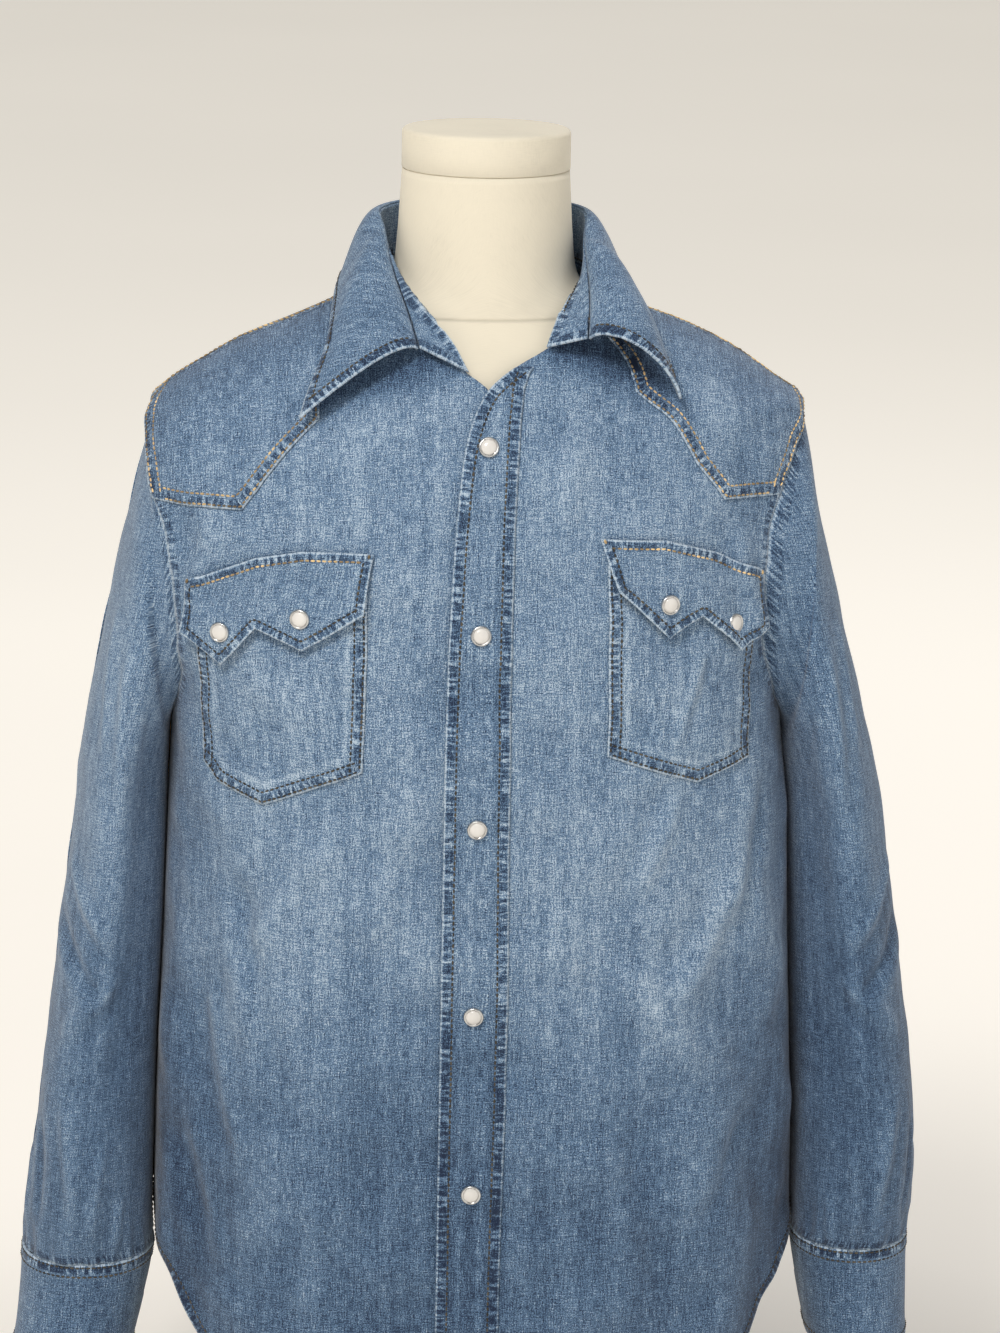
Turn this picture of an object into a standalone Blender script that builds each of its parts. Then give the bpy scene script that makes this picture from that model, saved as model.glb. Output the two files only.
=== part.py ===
"""Western denim shirt with pearl snaps on a limbless dress form, +Z up, front toward -Y, metres."""
import math

import bmesh
import bpy
import numpy as np
from mathutils import Vector

# Cloth and seams.
CLOTH = 0.0012
DOUBLE_CLOTH = 0.0018
OVERLAY = 0.0010
SEAM_GAP = 0.0003
STEP_EPSILON = 1e-5

# Shirt body: outer face, one row per height.
# height, half width of the wearer's right, of the wearer's left, reach ahead, reach behind, squareness.
BODY = np.array([
    (0.095, 0.2020, 0.2050, 0.130, 0.120, 2.50),
    (0.200, 0.2010, 0.2045, 0.131, 0.121, 2.50),
    (0.300, 0.2000, 0.2020, 0.132, 0.121, 2.50),
    (0.400, 0.1955, 0.1970, 0.132, 0.121, 2.50),
    (0.500, 0.1910, 0.1925, 0.131, 0.120, 2.50),
    (0.560, 0.1885, 0.1870, 0.130, 0.119, 2.50),
    (0.590, 0.1940, 0.1860, 0.1285, 0.118, 2.45),
    (0.620, 0.2050, 0.1880, 0.127, 0.1175, 2.40),
    (0.650, 0.2155, 0.1915, 0.124, 0.116, 2.40),
    (0.680, 0.2200, 0.1945, 0.120, 0.1145, 2.35),
    (0.705, 0.2225, 0.1965, 0.1145, 0.112, 2.30),
    (0.730, 0.2165, 0.1965, 0.107, 0.107, 2.20),
    (0.745, 0.2070, 0.1960, 0.101, 0.102, 2.15),
    (0.757, 0.1956, 0.1935, 0.095, 0.098, 2.10),
    (0.766, 0.1845, 0.1800, 0.0905, 0.095, 2.08),
    (0.776, 0.1680, 0.1660, 0.0855, 0.091, 2.05),
    (0.788, 0.1475, 0.1470, 0.0790, 0.086, 2.02),
    (0.800, 0.1180, 0.1215, 0.0720, 0.080, 2.00),
    (0.812, 0.0910, 0.0890, 0.0650, 0.073, 2.00),
    (0.823, 0.0710, 0.0700, 0.0602, 0.066, 2.00),
    (0.835, 0.0600, 0.0590, 0.0560, 0.060, 2.00),
])

# Soft folds of the body: turn at the top and at the bottom, top and bottom height, half width, rise.
BODY_FOLDS = (
    (27.0, 44.0, 0.50, 0.22, 9.0, 0.0045),
    (46.0, 66.0, 0.56, 0.34, 9.0, 0.0045),
    (60.0, 62.0, 0.42, 0.10, 10.0, -0.0050),
    (13.0, 17.0, 0.44, 0.10, 9.0, 0.0030),
    (-34.0, -29.0, 0.51, 0.14, 10.0, 0.0045),
    (-56.0, -60.0, 0.54, 0.20, 10.0, -0.0050),
    (-72.0, -68.0, 0.44, 0.16, 8.0, 0.0030),
    (-14.0, -18.0, 0.40, 0.10, 9.0, -0.0025),
    (128.0, 122.0, 0.60, 0.14, 10.0, -0.0050),
    (148.0, 152.0, 0.67, 0.10, 10.0, 0.0055),
    (172.0, 168.0, 0.62, 0.10, 9.0, -0.0045),
    (196.0, 200.0, 0.64, 0.10, 9.0, 0.0045),
    (214.0, 220.0, 0.66, 0.12, 10.0, -0.0045),
    (234.0, 236.0, 0.58, 0.16, 10.0, 0.0040),
)
FOLD_RUN = 0.10

# Soft folds of a sleeve, in the same columns; turn 0 is its outer side, 90 its front.
SLEEVE_FOLDS = (
    (126.0, 118.0, 0.66, 0.40, 24.0, -0.0050),
    (92.0, 88.0, 0.64, 0.42, 24.0, 0.0030),
    (50.0, 110.0, 0.47, 0.35, 24.0, -0.0040),
    (30.0, 70.0, 0.40, 0.27, 26.0, 0.0030),
    (250.0, 236.0, 0.62, 0.38, 26.0, -0.0050),
    (304.0, 262.0, 0.48, 0.34, 26.0, -0.0040),
    (330.0, 290.0, 0.38, 0.24, 26.0, 0.0030),
)

# Armhole: how far its edge lies ahead of and behind the shoulder line.
# height, ahead, behind.
ARMHOLE = np.array([
    (0.560, 0.000, 0.000),
    (0.570, 0.033, 0.036),
    (0.590, 0.055, 0.062),
    (0.620, 0.069, 0.079),
    (0.650, 0.074, 0.084),
    (0.680, 0.070, 0.080),
    (0.705, 0.060, 0.068),
    (0.730, 0.042, 0.046),
    (0.745, 0.022, 0.025),
    (0.757, 0.000, 0.000),
])

# Neckline: turn from centre front in degrees, height on the wearer's right, on the wearer's left.
NECKLINE = np.array([
    (4.6, 0.7830, 0.7830),
    (11.0, 0.8000, 0.7900),
    (15.0, 0.8055, 0.7961),
    (24.0, 0.8135, 0.8090),
    (36.5, 0.8200, 0.8190),
    (44.0, 0.8235, 0.8230),
    (65.0, 0.8290, 0.8290),
    (90.0, 0.8320, 0.8320),
    (180.0, 0.8345, 0.8345),
])

# Hem: turn from centre front in degrees, height.
HEM = np.array([
    (0.0, 0.130),
    (30.0, 0.138),
    (45.0, 0.153),
    (57.0, 0.174),
    (68.0, 0.200),
    (84.0, 0.228),
    (90.0, 0.235),
    (110.0, 0.205),
    (125.0, 0.165),
    (145.0, 0.130),
    (180.0, 0.115),
])

# Lapping front and its band: height, free edge, inner edge of the band (both along X).
BAND = np.array([
    (0.100, -0.0270, 0.0115),
    (0.200, -0.0270, 0.0115),
    (0.400, -0.0265, 0.0138),
    (0.600, -0.0252, 0.0128),
    (0.660, -0.0229, 0.0135),
    (0.716, -0.0187, 0.0150),
    (0.744, -0.0145, 0.0169),
    (0.757, -0.0105, 0.0178),
    (0.766, -0.0065, 0.0190),
    (0.776, 0.0005, 0.0205),
    (0.788, 0.0170, 0.0270),
    (0.7961, 0.0330, 0.0400),
])
BAND_TOP = 0.788

# Free edge of the front beneath: height, place along X.
UNDER_EDGE = np.array([
    (0.100, 0.0110),
    (0.735, 0.0110),
    (0.757, 0.0080),
    (0.766, 0.0050),
    (0.776, -0.0020),
    (0.783, -0.0125),
])
UNDER_TUCK = 0.0019
TUCK_RUN = 0.018

# Heights of the panel rows above the hem rows.
LOWER_ROWS = (0.26, 0.33, 0.40, 0.46, 0.51)
ARMHOLE_ROWS = (0.56, 0.57, 0.59, 0.62, 0.65, 0.68, 0.705, 0.73, 0.745, 0.757)
SHOULDER_ROWS = (0.766, 0.776, 0.788, 0.800, 0.812, 0.823)
FORM_CONTACT_ROWS = (0.776, 0.788, 0.800, 0.812)
HEM_ROWS = 3
FRONT_STEPS = 10
BACK_STEPS = 18
YOKE_FIRST_ROW = 0.65

# Sleeves: outer corner and inner corner of each ring, reach ahead and behind of its middle.
# outer X, outer Z, inner X, inner Z, ahead, behind, middle Y.
SLEEVE_RIGHT = np.array([
    (0.2025, 0.735, 0.1905, 0.5500, 0.068, 0.074, 0.000),
    (0.2115, 0.700, 0.1915, 0.5420, 0.073, 0.078, 0.000),
    (0.2213, 0.658, 0.1925, 0.5320, 0.074, 0.078, 0.000),
    (0.2300, 0.617, 0.1930, 0.5200, 0.073, 0.076, 0.000),
    (0.2390, 0.573, 0.1935, 0.5020, 0.071, 0.073, -0.001),
    (0.2515, 0.482, 0.1955, 0.4450, 0.067, 0.067, -0.004),
    (0.2570, 0.440, 0.1970, 0.4130, 0.065, 0.064, -0.006),
    (0.2675, 0.355, 0.2003, 0.3450, 0.061, 0.060, -0.010),
    (0.2735, 0.305, 0.2022, 0.3000, 0.057, 0.056, -0.012),
    (0.2790, 0.262, 0.2032, 0.2600, 0.053, 0.052, -0.014),
    (0.2828, 0.232, 0.2030, 0.2320, 0.050, 0.049, -0.015),
    (0.2835, 0.213, 0.2022, 0.2130, 0.045, 0.044, -0.016),
])
SLEEVE_LEFT = np.array([
    (0.1985, 0.735, 0.1885, 0.5500, 0.068, 0.074, 0.000),
    (0.2050, 0.700, 0.1895, 0.5420, 0.073, 0.078, 0.000),
    (0.2151, 0.659, 0.1910, 0.5320, 0.074, 0.078, 0.000),
    (0.2250, 0.617, 0.1922, 0.5200, 0.073, 0.076, 0.000),
    (0.2375, 0.573, 0.1938, 0.5020, 0.071, 0.073, -0.001),
    (0.2560, 0.485, 0.1972, 0.4450, 0.067, 0.067, -0.004),
    (0.2625, 0.440, 0.1985, 0.4130, 0.065, 0.064, -0.006),
    (0.2745, 0.355, 0.2022, 0.3450, 0.061, 0.060, -0.010),
    (0.2805, 0.300, 0.2045, 0.3000, 0.057, 0.056, -0.012),
    (0.2812, 0.262, 0.2056, 0.2600, 0.053, 0.052, -0.014),
    (0.2800, 0.236, 0.2054, 0.2360, 0.050, 0.049, -0.015),
    (0.2790, 0.220, 0.2050, 0.2200, 0.045, 0.044, -0.016),
])
SLEEVE_SQUARENESS = 2.15
SLEEVE_BLEND_RINGS = 4

# Cuffs: the same columns, top to bottom.
CUFF_RIGHT = np.array([
    (0.2852, 0.2127, 0.2010, 0.2127, 0.0455, 0.0445, -0.016),
    (0.2885, 0.1750, 0.2085, 0.1750, 0.0440, 0.0430, -0.017),
    (0.2922, 0.1410, 0.2160, 0.1410, 0.0425, 0.0410, -0.018),
])
CUFF_LEFT = np.array([
    (0.2802, 0.2197, 0.2045, 0.2197, 0.0455, 0.0445, -0.016),
    (0.2815, 0.1820, 0.2105, 0.1820, 0.0440, 0.0430, -0.017),
    (0.2820, 0.1480, 0.2170, 0.1480, 0.0425, 0.0410, -0.018),
])
CUFF_WALL = 0.0020
CUFF_STEPS = 20
CUFF_SEAM_TURN = 232.0
CUFF_LAP_TURN = 22.0
CUFF_LAP_RAMP = 45.0
CUFF_LAP_RISE = 0.0026
SLEEVE_BAND_COLUMN = 11
SLEEVE_BAND_RINGS = 3

# Collar, from centre back to its end on each side.
# seam turn from centre front, fold (aside, ahead, up), edge (aside, ahead, up), bulge of the leaf.
COLLAR_RIGHT = np.array([
    (180.0, 0.0000, -0.0655, 0.8655, 0.0000, -0.0890, 0.8220, 0.0050),
    (145.0, 0.0376, -0.0537, 0.8655, 0.0530, -0.0728, 0.8215, 0.0050),
    (113.0, 0.0585, -0.0275, 0.8650, 0.0833, -0.0354, 0.8210, 0.0050),
    (90.0, 0.0636, -0.0080, 0.8635, 0.0893, 0.0000, 0.8205, 0.0045),
    (68.0, 0.0612, 0.0075, 0.8560, 0.0925, 0.0330, 0.8125, 0.0040),
    (46.0, 0.0590, 0.0185, 0.8485, 0.0962, 0.0590, 0.7955, 0.0035),
    (24.0, 0.0520, 0.0420, 0.8300, 0.1030, 0.0720, 0.7800, 0.0030),
    (11.0, 0.0450, 0.0620, 0.8120, 0.1085, 0.0830, 0.7690, 0.0020),
    (4.6, 0.0405, 0.0775, 0.7970, 0.1125, 0.0930, 0.7580, 0.0010),
])
COLLAR_LEFT = np.array([
    (180.0, 0.0000, -0.0655, 0.8655, 0.0000, -0.0890, 0.8220, 0.0050),
    (145.0, 0.0376, -0.0537, 0.8655, 0.0530, -0.0728, 0.8215, 0.0050),
    (113.0, 0.0580, -0.0275, 0.8650, 0.0833, -0.0354, 0.8205, 0.0050),
    (90.0, 0.0618, -0.0080, 0.8625, 0.0873, 0.0000, 0.8185, 0.0045),
    (68.0, 0.0598, 0.0110, 0.8510, 0.0915, 0.0350, 0.8090, 0.0040),
    (50.0, 0.0585, 0.0330, 0.8390, 0.0975, 0.0640, 0.7910, 0.0045),
    (36.5, 0.0580, 0.0560, 0.8255, 0.1040, 0.0700, 0.7855, 0.0055),
    (22.0, 0.0570, 0.0700, 0.8140, 0.1090, 0.0790, 0.7770, 0.0055),
    (15.0, 0.0560, 0.0785, 0.8035, 0.1125, 0.0870, 0.7700, 0.0050),
])
STAND_LIFT = 0.0019
LEAF_LIFT = 0.0020
LEAF_ROLL = 0.0100
LEAF_STEPS = (0.0, 0.10, 0.25, 0.45, 0.72, 1.0)
LEAF_WALL = 0.0016

# Front yokes: lower edge, centre to armhole, as X and Z.
YOKE_EDGE_RIGHT = (
    (-0.030, 0.8200), (-0.060, 0.7930), (-0.1002, 0.7558), (-0.1363, 0.7149), (-0.1450, 0.7035),
    (-0.1762, 0.7025), (-0.2400, 0.7050),
)
YOKE_EDGE_LEFT = (
    (0.035, 0.8230), (0.0637, 0.7965), (0.0870, 0.7718), (0.1235, 0.7302), (0.1401, 0.7092),
    (0.1767, 0.7068), (0.2400, 0.7080),
)
# Back yoke: lower edge from the wearer's right armhole to the left one.
YOKE_EDGE_BACK = (
    (-0.2400, 0.7050), (-0.1500, 0.7020), (-0.1250, 0.6900), (0.0000, 0.7240),
    (0.1250, 0.6900), (0.1500, 0.7020), (0.2400, 0.7050),
)

# Pockets and flaps: corners as X and Z, going round.
POCKET_RIGHT = (
    (-0.1735, 0.655), (-0.1700, 0.600), (-0.1680, 0.545), (-0.1597, 0.5355),
    (-0.1324, 0.5270), (-0.0740, 0.5520), (-0.0722, 0.620), (-0.0720, 0.674), (-0.1200, 0.674),
)
POCKET_LEFT = (
    (0.0692, 0.682), (0.0702, 0.620), (0.0711, 0.5615), (0.1270, 0.5410),
    (0.1590, 0.5510), (0.1605, 0.600), (0.1600, 0.656), (0.1200, 0.676),
)
FLAP_RIGHT = (
    (-0.1767, 0.6595), (-0.1373, 0.6770), (-0.1094, 0.6825), (-0.0681, 0.6820),
    (-0.0735, 0.6480), (-0.1091, 0.6235), (-0.1361, 0.6355), (-0.1552, 0.6111), (-0.1762, 0.6290),
)
FLAP_LEFT = (
    (0.0645, 0.6915), (0.1024, 0.6898), (0.1341, 0.6800), (0.1636, 0.6650),
    (0.1635, 0.6313), (0.1478, 0.6191), (0.1261, 0.6434), (0.1053, 0.6313), (0.0745, 0.6600),
)
POCKET_OFFSET = 0.0003
FLAP_OFFSET = 0.0018
FLAP_WALL = 0.0013

# Pearl snaps: places as X and Z.
FRONT_SNAPS = (
    (-0.0014, 0.7430), (-0.0056, 0.6355), (-0.0063, 0.5190), (-0.0066, 0.4025),
    (-0.0066, 0.2885), (-0.0070, 0.1760),
)
POCKET_SNAPS = {
    "right_outer": (-0.1561, 0.6310),
    "right_inner": (-0.1104, 0.6434),
    "left_inner": (0.1054, 0.6519),
    "left_outer": (0.1455, 0.6356),
}
SNAP_RADIUS = 0.0062
SNAP_RIM = 0.0011
SNAP_EDGE_HEIGHT = 0.0014
SNAP_HEIGHT = 0.0028
SNAP_SIDES = 20

# Form: height, half width, ahead, behind, squareness.
FORM = np.array([
    (0.085, 0.138, 0.0860, 0.0880, 2.3),
    (0.090, 0.147, 0.0940, 0.0960, 2.3),
    (0.100, 0.152, 0.0975, 0.0985, 2.3),
    (0.160, 0.155, 0.0985, 0.0990, 2.3),
    (0.240, 0.149, 0.0970, 0.0960, 2.3),
    (0.330, 0.142, 0.0950, 0.0915, 2.3),
    (0.420, 0.147, 0.1000, 0.0940, 2.3),
    (0.500, 0.156, 0.1080, 0.1000, 2.3),
    (0.580, 0.165, 0.1130, 0.1050, 2.3),
    (0.640, 0.171, 0.1120, 0.1050, 2.25),
    (0.690, 0.177, 0.1040, 0.1010, 2.2),
    (0.725, 0.180, 0.0950, 0.0970, 2.15),
    (0.750, 0.177, 0.0880, 0.0915, 2.1),
    (0.764, 0.170, 0.0840, 0.0880, 2.05),
])
NECK = np.array([
    (0.8245, 0.0585, 0.0560, 0.0570, 2.0),
    (0.8360, 0.0545, 0.0530, 0.0535, 2.0),
    (0.8600, 0.0525, 0.0515, 0.0515, 2.0),
    (0.8940, 0.0505, 0.0505, 0.0505, 2.0),
])
FORM_SIDES = 40
FORM_INSET_SIDE = 0.0018
FORM_INSET_FACE = 0.0048
NECK_TOP = 0.8940
CAP_HEIGHT = 0.0240
CAP_RADIUS = 0.0508
CAP_ROUNDING = 0.0025
POST_RADIUS = 0.0125
BASE_RADIUS = 0.140
BASE_THICKNESS = 0.010
BASE_ROUNDING = 0.003
ROUND_SIDES = 48


def clear_scene():
    for old in list(bpy.data.objects):
        bpy.data.objects.remove(old, do_unlink=True)


def tangents(xs, ys):
    slopes = np.diff(ys) / np.diff(xs)
    inner = np.where(slopes[:-1] * slopes[1:] > 0, (slopes[:-1] + slopes[1:]) / 2, 0.0)
    limit = 3 * np.minimum(abs(slopes[:-1]), abs(slopes[1:]))
    inner = np.clip(inner, -limit, limit)
    return np.concatenate(([slopes[0]], inner, [slopes[-1]]))


def smooth(table, column, at):
    """Value of a table's column at a place between its rows, by a curve with no overshoot."""
    xs = table[:, 0]
    ys = table[:, column]
    at = float(np.clip(at, xs[0], xs[-1]))
    i = int(np.clip(np.searchsorted(xs, at) - 1, 0, len(xs) - 2))
    slope = tangents(xs, ys)
    span = xs[i + 1] - xs[i]
    t = (at - xs[i]) / span
    return float(
        ys[i] * (2 * t ** 3 - 3 * t ** 2 + 1)
        + slope[i] * span * (t ** 3 - 2 * t ** 2 + t)
        + ys[i + 1] * (3 * t ** 2 - 2 * t ** 3)
        + slope[i + 1] * span * (t ** 3 - t ** 2)
    )


def oval_point(half, ahead, behind, squareness, turn, height):
    """Point of a squared oval; turn 0 is centre front, 90 the wearer's left, 180 centre back."""
    side = math.sin(math.radians(turn))
    face = math.cos(math.radians(turn))
    power = 2.0 / squareness
    reach = ahead if face >= 0 else behind
    x = math.copysign(half * abs(side) ** power, side)
    y = -math.copysign(reach * abs(face) ** power, face)
    return np.array((x, y, height))


def body_half(height, turn):
    return smooth(BODY, 2 if math.sin(math.radians(turn)) >= 0 else 1, height)


def ease(share):
    share = min(max(share, 0.0), 1.0)
    return share * share * (3 - 2 * share)


def fold_rise(folds, turn, height):
    """How far the soft folds lift or sink the cloth at a turn and a height."""
    total = 0.0
    for top_turn, bottom_turn, top, bottom, half, rise in folds:
        down = min(max((top - height) / (top - bottom), 0.0), 1.0)
        middle = top_turn + (bottom_turn - top_turn) * down
        away = (turn - middle + 180.0) % 360.0 - 180.0
        across = ease(1 - abs(away) / (2 * half))
        along = ease((top - height) / FOLD_RUN) * ease((height - bottom) / FOLD_RUN + 1)
        total += rise * across * along
    return total


def body_point(turn, height):
    half = body_half(height, turn)
    ahead = smooth(BODY, 3, height)
    behind = smooth(BODY, 4, height)
    point = oval_point(half, ahead, behind, smooth(BODY, 5, height), turn, height)
    out = np.array((point[0] / half ** 2, point[1] / ahead ** 2, 0.0))
    return point + out / np.linalg.norm(out) * fold_rise(BODY_FOLDS, turn, height)


def body_normal(turn, height):
    step_turn = 0.4
    step_height = 0.0008
    along = body_point(turn + step_turn, height) - body_point(turn - step_turn, height)
    up = body_point(turn, height + step_height) - body_point(turn, height - step_height)
    normal = np.cross(along, up)
    return normal / np.linalg.norm(normal)


def turn_of_aside(aside, height):
    """Turn on the front where the body's face is at this X."""
    squareness = smooth(BODY, 5, height)
    half = body_half(height, 90.0 if aside >= 0 else -90.0)
    share = min(abs(aside) / half, 1.0) ** (squareness / 2)
    return math.copysign(math.degrees(math.asin(share)), aside)


def turn_of_reach(reach, height, column):
    """Turn from centre front (column 3) or centre back (column 4) where the body's face has this reach."""
    share = min(reach / smooth(BODY, column, height), 1.0) ** (smooth(BODY, 5, height) / 2)
    return math.degrees(math.acos(share))


def front_height(x, z):
    """Point and outward direction of the front's face at X and Z."""
    turn = turn_of_aside(x, z)
    return body_point(turn, z), body_normal(turn, z)


def neckline_turn(height, column):
    return smooth(NECKLINE[:, [column, 0]], 1, height)


def surface(rows):
    """Arrays of points and outward directions from rows of (turn, height)."""
    points = np.array([[body_point(turn, height) for turn, height in row] for row in rows])
    normals = np.array([[body_normal(turn, height) for turn, height in row] for row in rows])
    return points, normals


def hem_height(turn):
    return smooth(HEM, 1, abs(turn) if abs(turn) <= 180 else 360 - abs(turn))


def side_turn(height, column):
    """Turn of a panel's armhole edge, or 90 where there is no armhole."""
    if ARMHOLE[0, 0] < height < ARMHOLE[-1, 0]:
        reach = smooth(ARMHOLE, column - 2, height)
        return turn_of_reach(reach, height, column)
    return 90.0


def front_rows(sign):
    """Rows of (turn, height) of one front; sign 1 is the wearer's left, the lapping one."""
    column = 2 if sign > 0 else 1
    edge_top = BAND[-1, 0] if sign > 0 else UNDER_EDGE[-1, 0]
    heights = list(LOWER_ROWS) + list(ARMHOLE_ROWS) + list(SHOULDER_ROWS)
    heights = sorted(h for h in heights + [edge_top] if abs(h - edge_top) < 1e-9 or abs(h - edge_top) > 0.002)

    def row_turns(height):
        end = side_turn(height, 3)
        if height <= edge_top + 1e-9:
            free = smooth(BAND, 1, height)
            if sign > 0:
                inner = smooth(BAND, 2, height)
                starts = [free, (free + inner) / 2, inner]
                starts.append(inner + TUCK_RUN)
            else:
                under = smooth(UNDER_EDGE, 1, height)
                lap = min(free, under - 0.010)
                starts = [under, (under + lap) / 2, lap, lap - TUCK_RUN]
            turns = [turn_of_aside(x, height) * sign for x in starts]
        else:
            first = neckline_turn(height, column)
            step = (end - first) / (FRONT_STEPS + 3)
            turns = [first + step * i for i in range(4)]
        rest = [turns[3] + (end - turns[3]) * (i + 1) / FRONT_STEPS for i in range(FRONT_STEPS)]
        return [sign * turn for turn in turns + rest]

    rows = [[(turn, height) for turn in row_turns(height)] for height in heights]
    first_row = rows[0]
    hem_rows = []
    for i in range(HEM_ROWS):
        share = i / HEM_ROWS
        hem_rows.append([
            (turn, hem_height(turn) + (height - hem_height(turn)) * share) for turn, height in first_row
        ])
    top_turns = np.linspace(neckline_turn(0.829, column), 90.0, FRONT_STEPS + 4)
    top_row = [(sign * turn, smooth(NECKLINE, column, turn)) for turn in top_turns]
    return hem_rows + rows + [top_row]


def back_rows():
    heights = sorted(list(LOWER_ROWS) + list(ARMHOLE_ROWS) + list(SHOULDER_ROWS))
    rows = []
    for height in heights:
        reach = side_turn(height, 4)
        rows.append([(180.0 + turn, height) for turn in np.linspace(-reach, reach, BACK_STEPS + 1)])
    hem_rows = []
    for i in range(HEM_ROWS):
        share = i / HEM_ROWS
        hem_rows.append([
            (turn, hem_height(turn) + (height - hem_height(turn)) * share) for turn, height in rows[0]
        ])
    top_row = [
        (turn, smooth(NECKLINE, 1, turn if turn <= 180 else 360 - turn))
        for turn in np.linspace(90.0, 270.0, BACK_STEPS + 1)
    ]
    return hem_rows + rows + [top_row]


def trim_sides(points, first, last):
    """Moves the first and last columns in by half a seam gap."""
    out = points.copy()
    for wanted, edge, inner in ((first, 0, 1), (last, -1, -2)):
        if wanted:
            step = points[:, inner] - points[:, edge]
            length = np.linalg.norm(step, axis=1, keepdims=True)
            out[:, edge] = points[:, edge] + step / np.maximum(length, 1e-9) * SEAM_GAP / 2
    return out


def grid_normals(points, closed):
    """Outward directions of a grid of points, columns going round."""
    if closed:
        along = np.roll(points, -1, axis=1) - np.roll(points, 1, axis=1)
    else:
        along = np.gradient(points, axis=1)
    normals = np.cross(along, np.gradient(points, axis=0))
    return normals / np.linalg.norm(normals, axis=2, keepdims=True)


def paint(obj, colour, roughness, metallic=0.0):
    material = bpy.data.materials.new(obj.name)
    material.use_nodes = True
    shader = material.node_tree.nodes["Principled BSDF"]
    shader.inputs["Base Color"].default_value = (*colour, 1.0)
    shader.inputs["Roughness"].default_value = roughness
    shader.inputs["Metallic"].default_value = metallic
    obj.data.materials.append(material)
    return obj


DENIM = ((0.115, 0.205, 0.345), 0.9)
LINEN = ((0.80, 0.76, 0.65), 0.85)
PEARL = ((0.86, 0.86, 0.85), 0.25)
STEEL = ((0.62, 0.61, 0.58), 0.35)


def add_object(name, bm, look, rounded=False, metallic=0.0):
    bmesh.ops.remove_doubles(bm, verts=bm.verts, dist=STEP_EPSILON)
    bmesh.ops.recalc_face_normals(bm, faces=bm.faces)
    mesh = bpy.data.meshes.new(name)
    bm.to_mesh(mesh)
    bm.free()
    if rounded:
        mesh.shade_smooth()
    obj = bpy.data.objects.new(name, mesh)
    bpy.context.scene.collection.objects.link(obj)
    return paint(obj, look[0], look[1], metallic)


def wall(name, outer, inner, closed=False, look=DENIM):
    """Closed wall of cloth between two grids of points."""
    bm = bmesh.new()
    layers = [[[bm.verts.new(p) for p in row] for row in grid] for grid in (outer, inner)]
    rows, columns = outer.shape[:2]
    spans = columns if closed else columns - 1
    for grid, flip in zip(layers, (False, True)):
        for r in range(rows - 1):
            for c in range(spans):
                d = (c + 1) % columns
                quad = (grid[r][c], grid[r][d], grid[r + 1][d], grid[r + 1][c])
                bm.faces.new(quad[::-1] if flip else quad)
    for r in (0, rows - 1):
        for c in range(spans):
            d = (c + 1) % columns
            bm.faces.new((layers[0][r][c], layers[0][r][d], layers[1][r][d], layers[1][r][c]))
    if not closed:
        for c in (0, columns - 1):
            for r in range(rows - 1):
                bm.faces.new((layers[0][r][c], layers[0][r + 1][c], layers[1][r + 1][c], layers[1][r][c]))
    bmesh.ops.triangulate(bm, faces=bm.faces)
    return add_object(name, bm, look)


def offset_wall(name, points, normals, start, thickness, closed=False):
    return wall(name, points + normals * (start + thickness), points + normals * start, closed)


def prism(outline, near, far):
    """Prism with an outline given as X and Z, running along Y."""
    bm = bmesh.new()
    front = [bm.verts.new((x, near, z)) for x, z in outline]
    back = [bm.verts.new((x, far, z)) for x, z in outline]
    count = len(outline)
    bm.faces.new(front)
    bm.faces.new(back[::-1])
    for i in range(count):
        j = (i + 1) % count
        bm.faces.new((front[i], front[j], back[j], back[i]))
    bmesh.ops.recalc_face_normals(bm, faces=bm.faces)
    mesh = bpy.data.meshes.new("cutter")
    bm.to_mesh(mesh)
    bm.free()
    cutter = bpy.data.objects.new("cutter", mesh)
    cutter.hide_render = True
    cutter.display_type = "WIRE"
    bpy.context.scene.collection.objects.link(cutter)
    return cutter


def keep_inside(obj, outline, near, far):
    """Keeps the part of a wall that lies inside the outline."""
    cutter = prism(outline, near, far)
    cut = obj.modifiers.new("outline", "BOOLEAN")
    cut.operation = "INTERSECT"
    cut.solver = "EXACT"
    cut.object = cutter
    bpy.context.view_layer.update()
    evaluated = obj.evaluated_get(bpy.context.evaluated_depsgraph_get())
    mesh = bpy.data.meshes.new_from_object(evaluated)
    obj.modifiers.clear()
    mesh.name = obj.name
    obj.data = mesh
    bpy.data.objects.remove(cutter, do_unlink=True)
    bm = bmesh.new()
    bm.from_mesh(mesh)
    bmesh.ops.remove_doubles(bm, verts=bm.verts, dist=STEP_EPSILON)
    bmesh.ops.dissolve_degenerate(bm, edges=bm.edges, dist=STEP_EPSILON)
    bmesh.ops.triangulate(bm, faces=bm.faces)
    bm.to_mesh(mesh)
    bm.free()
    return obj


def tuck(points, normals, rows):
    """Sinks the front beneath by one cloth and a gap where the other front lies on it."""
    out = points.copy()
    for r, row in enumerate(rows):
        height = row[0][1]
        depth = UNDER_TUCK if height < UNDER_EDGE[-2, 0] + 1e-9 else UNDER_TUCK * 0.4
        if height > UNDER_EDGE[-1, 0] + 1e-9:
            depth = 0.0
        for c in range(3):
            out[r, c] = points[r, c] - normals[r, c] * depth
    return out


def make_front(sign, name):
    rows = front_rows(sign)
    points, normals = surface(rows)
    points = trim_sides(points, False, True)
    if sign < 0:
        points = tuck(points, normals, rows)
    if sign > 0:
        offset_wall(name, points, normals, -CLOTH, CLOTH)
    else:
        offset_wall(name, points[:, ::-1], normals[:, ::-1], -CLOTH, CLOTH)
    return rows, points, normals


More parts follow.
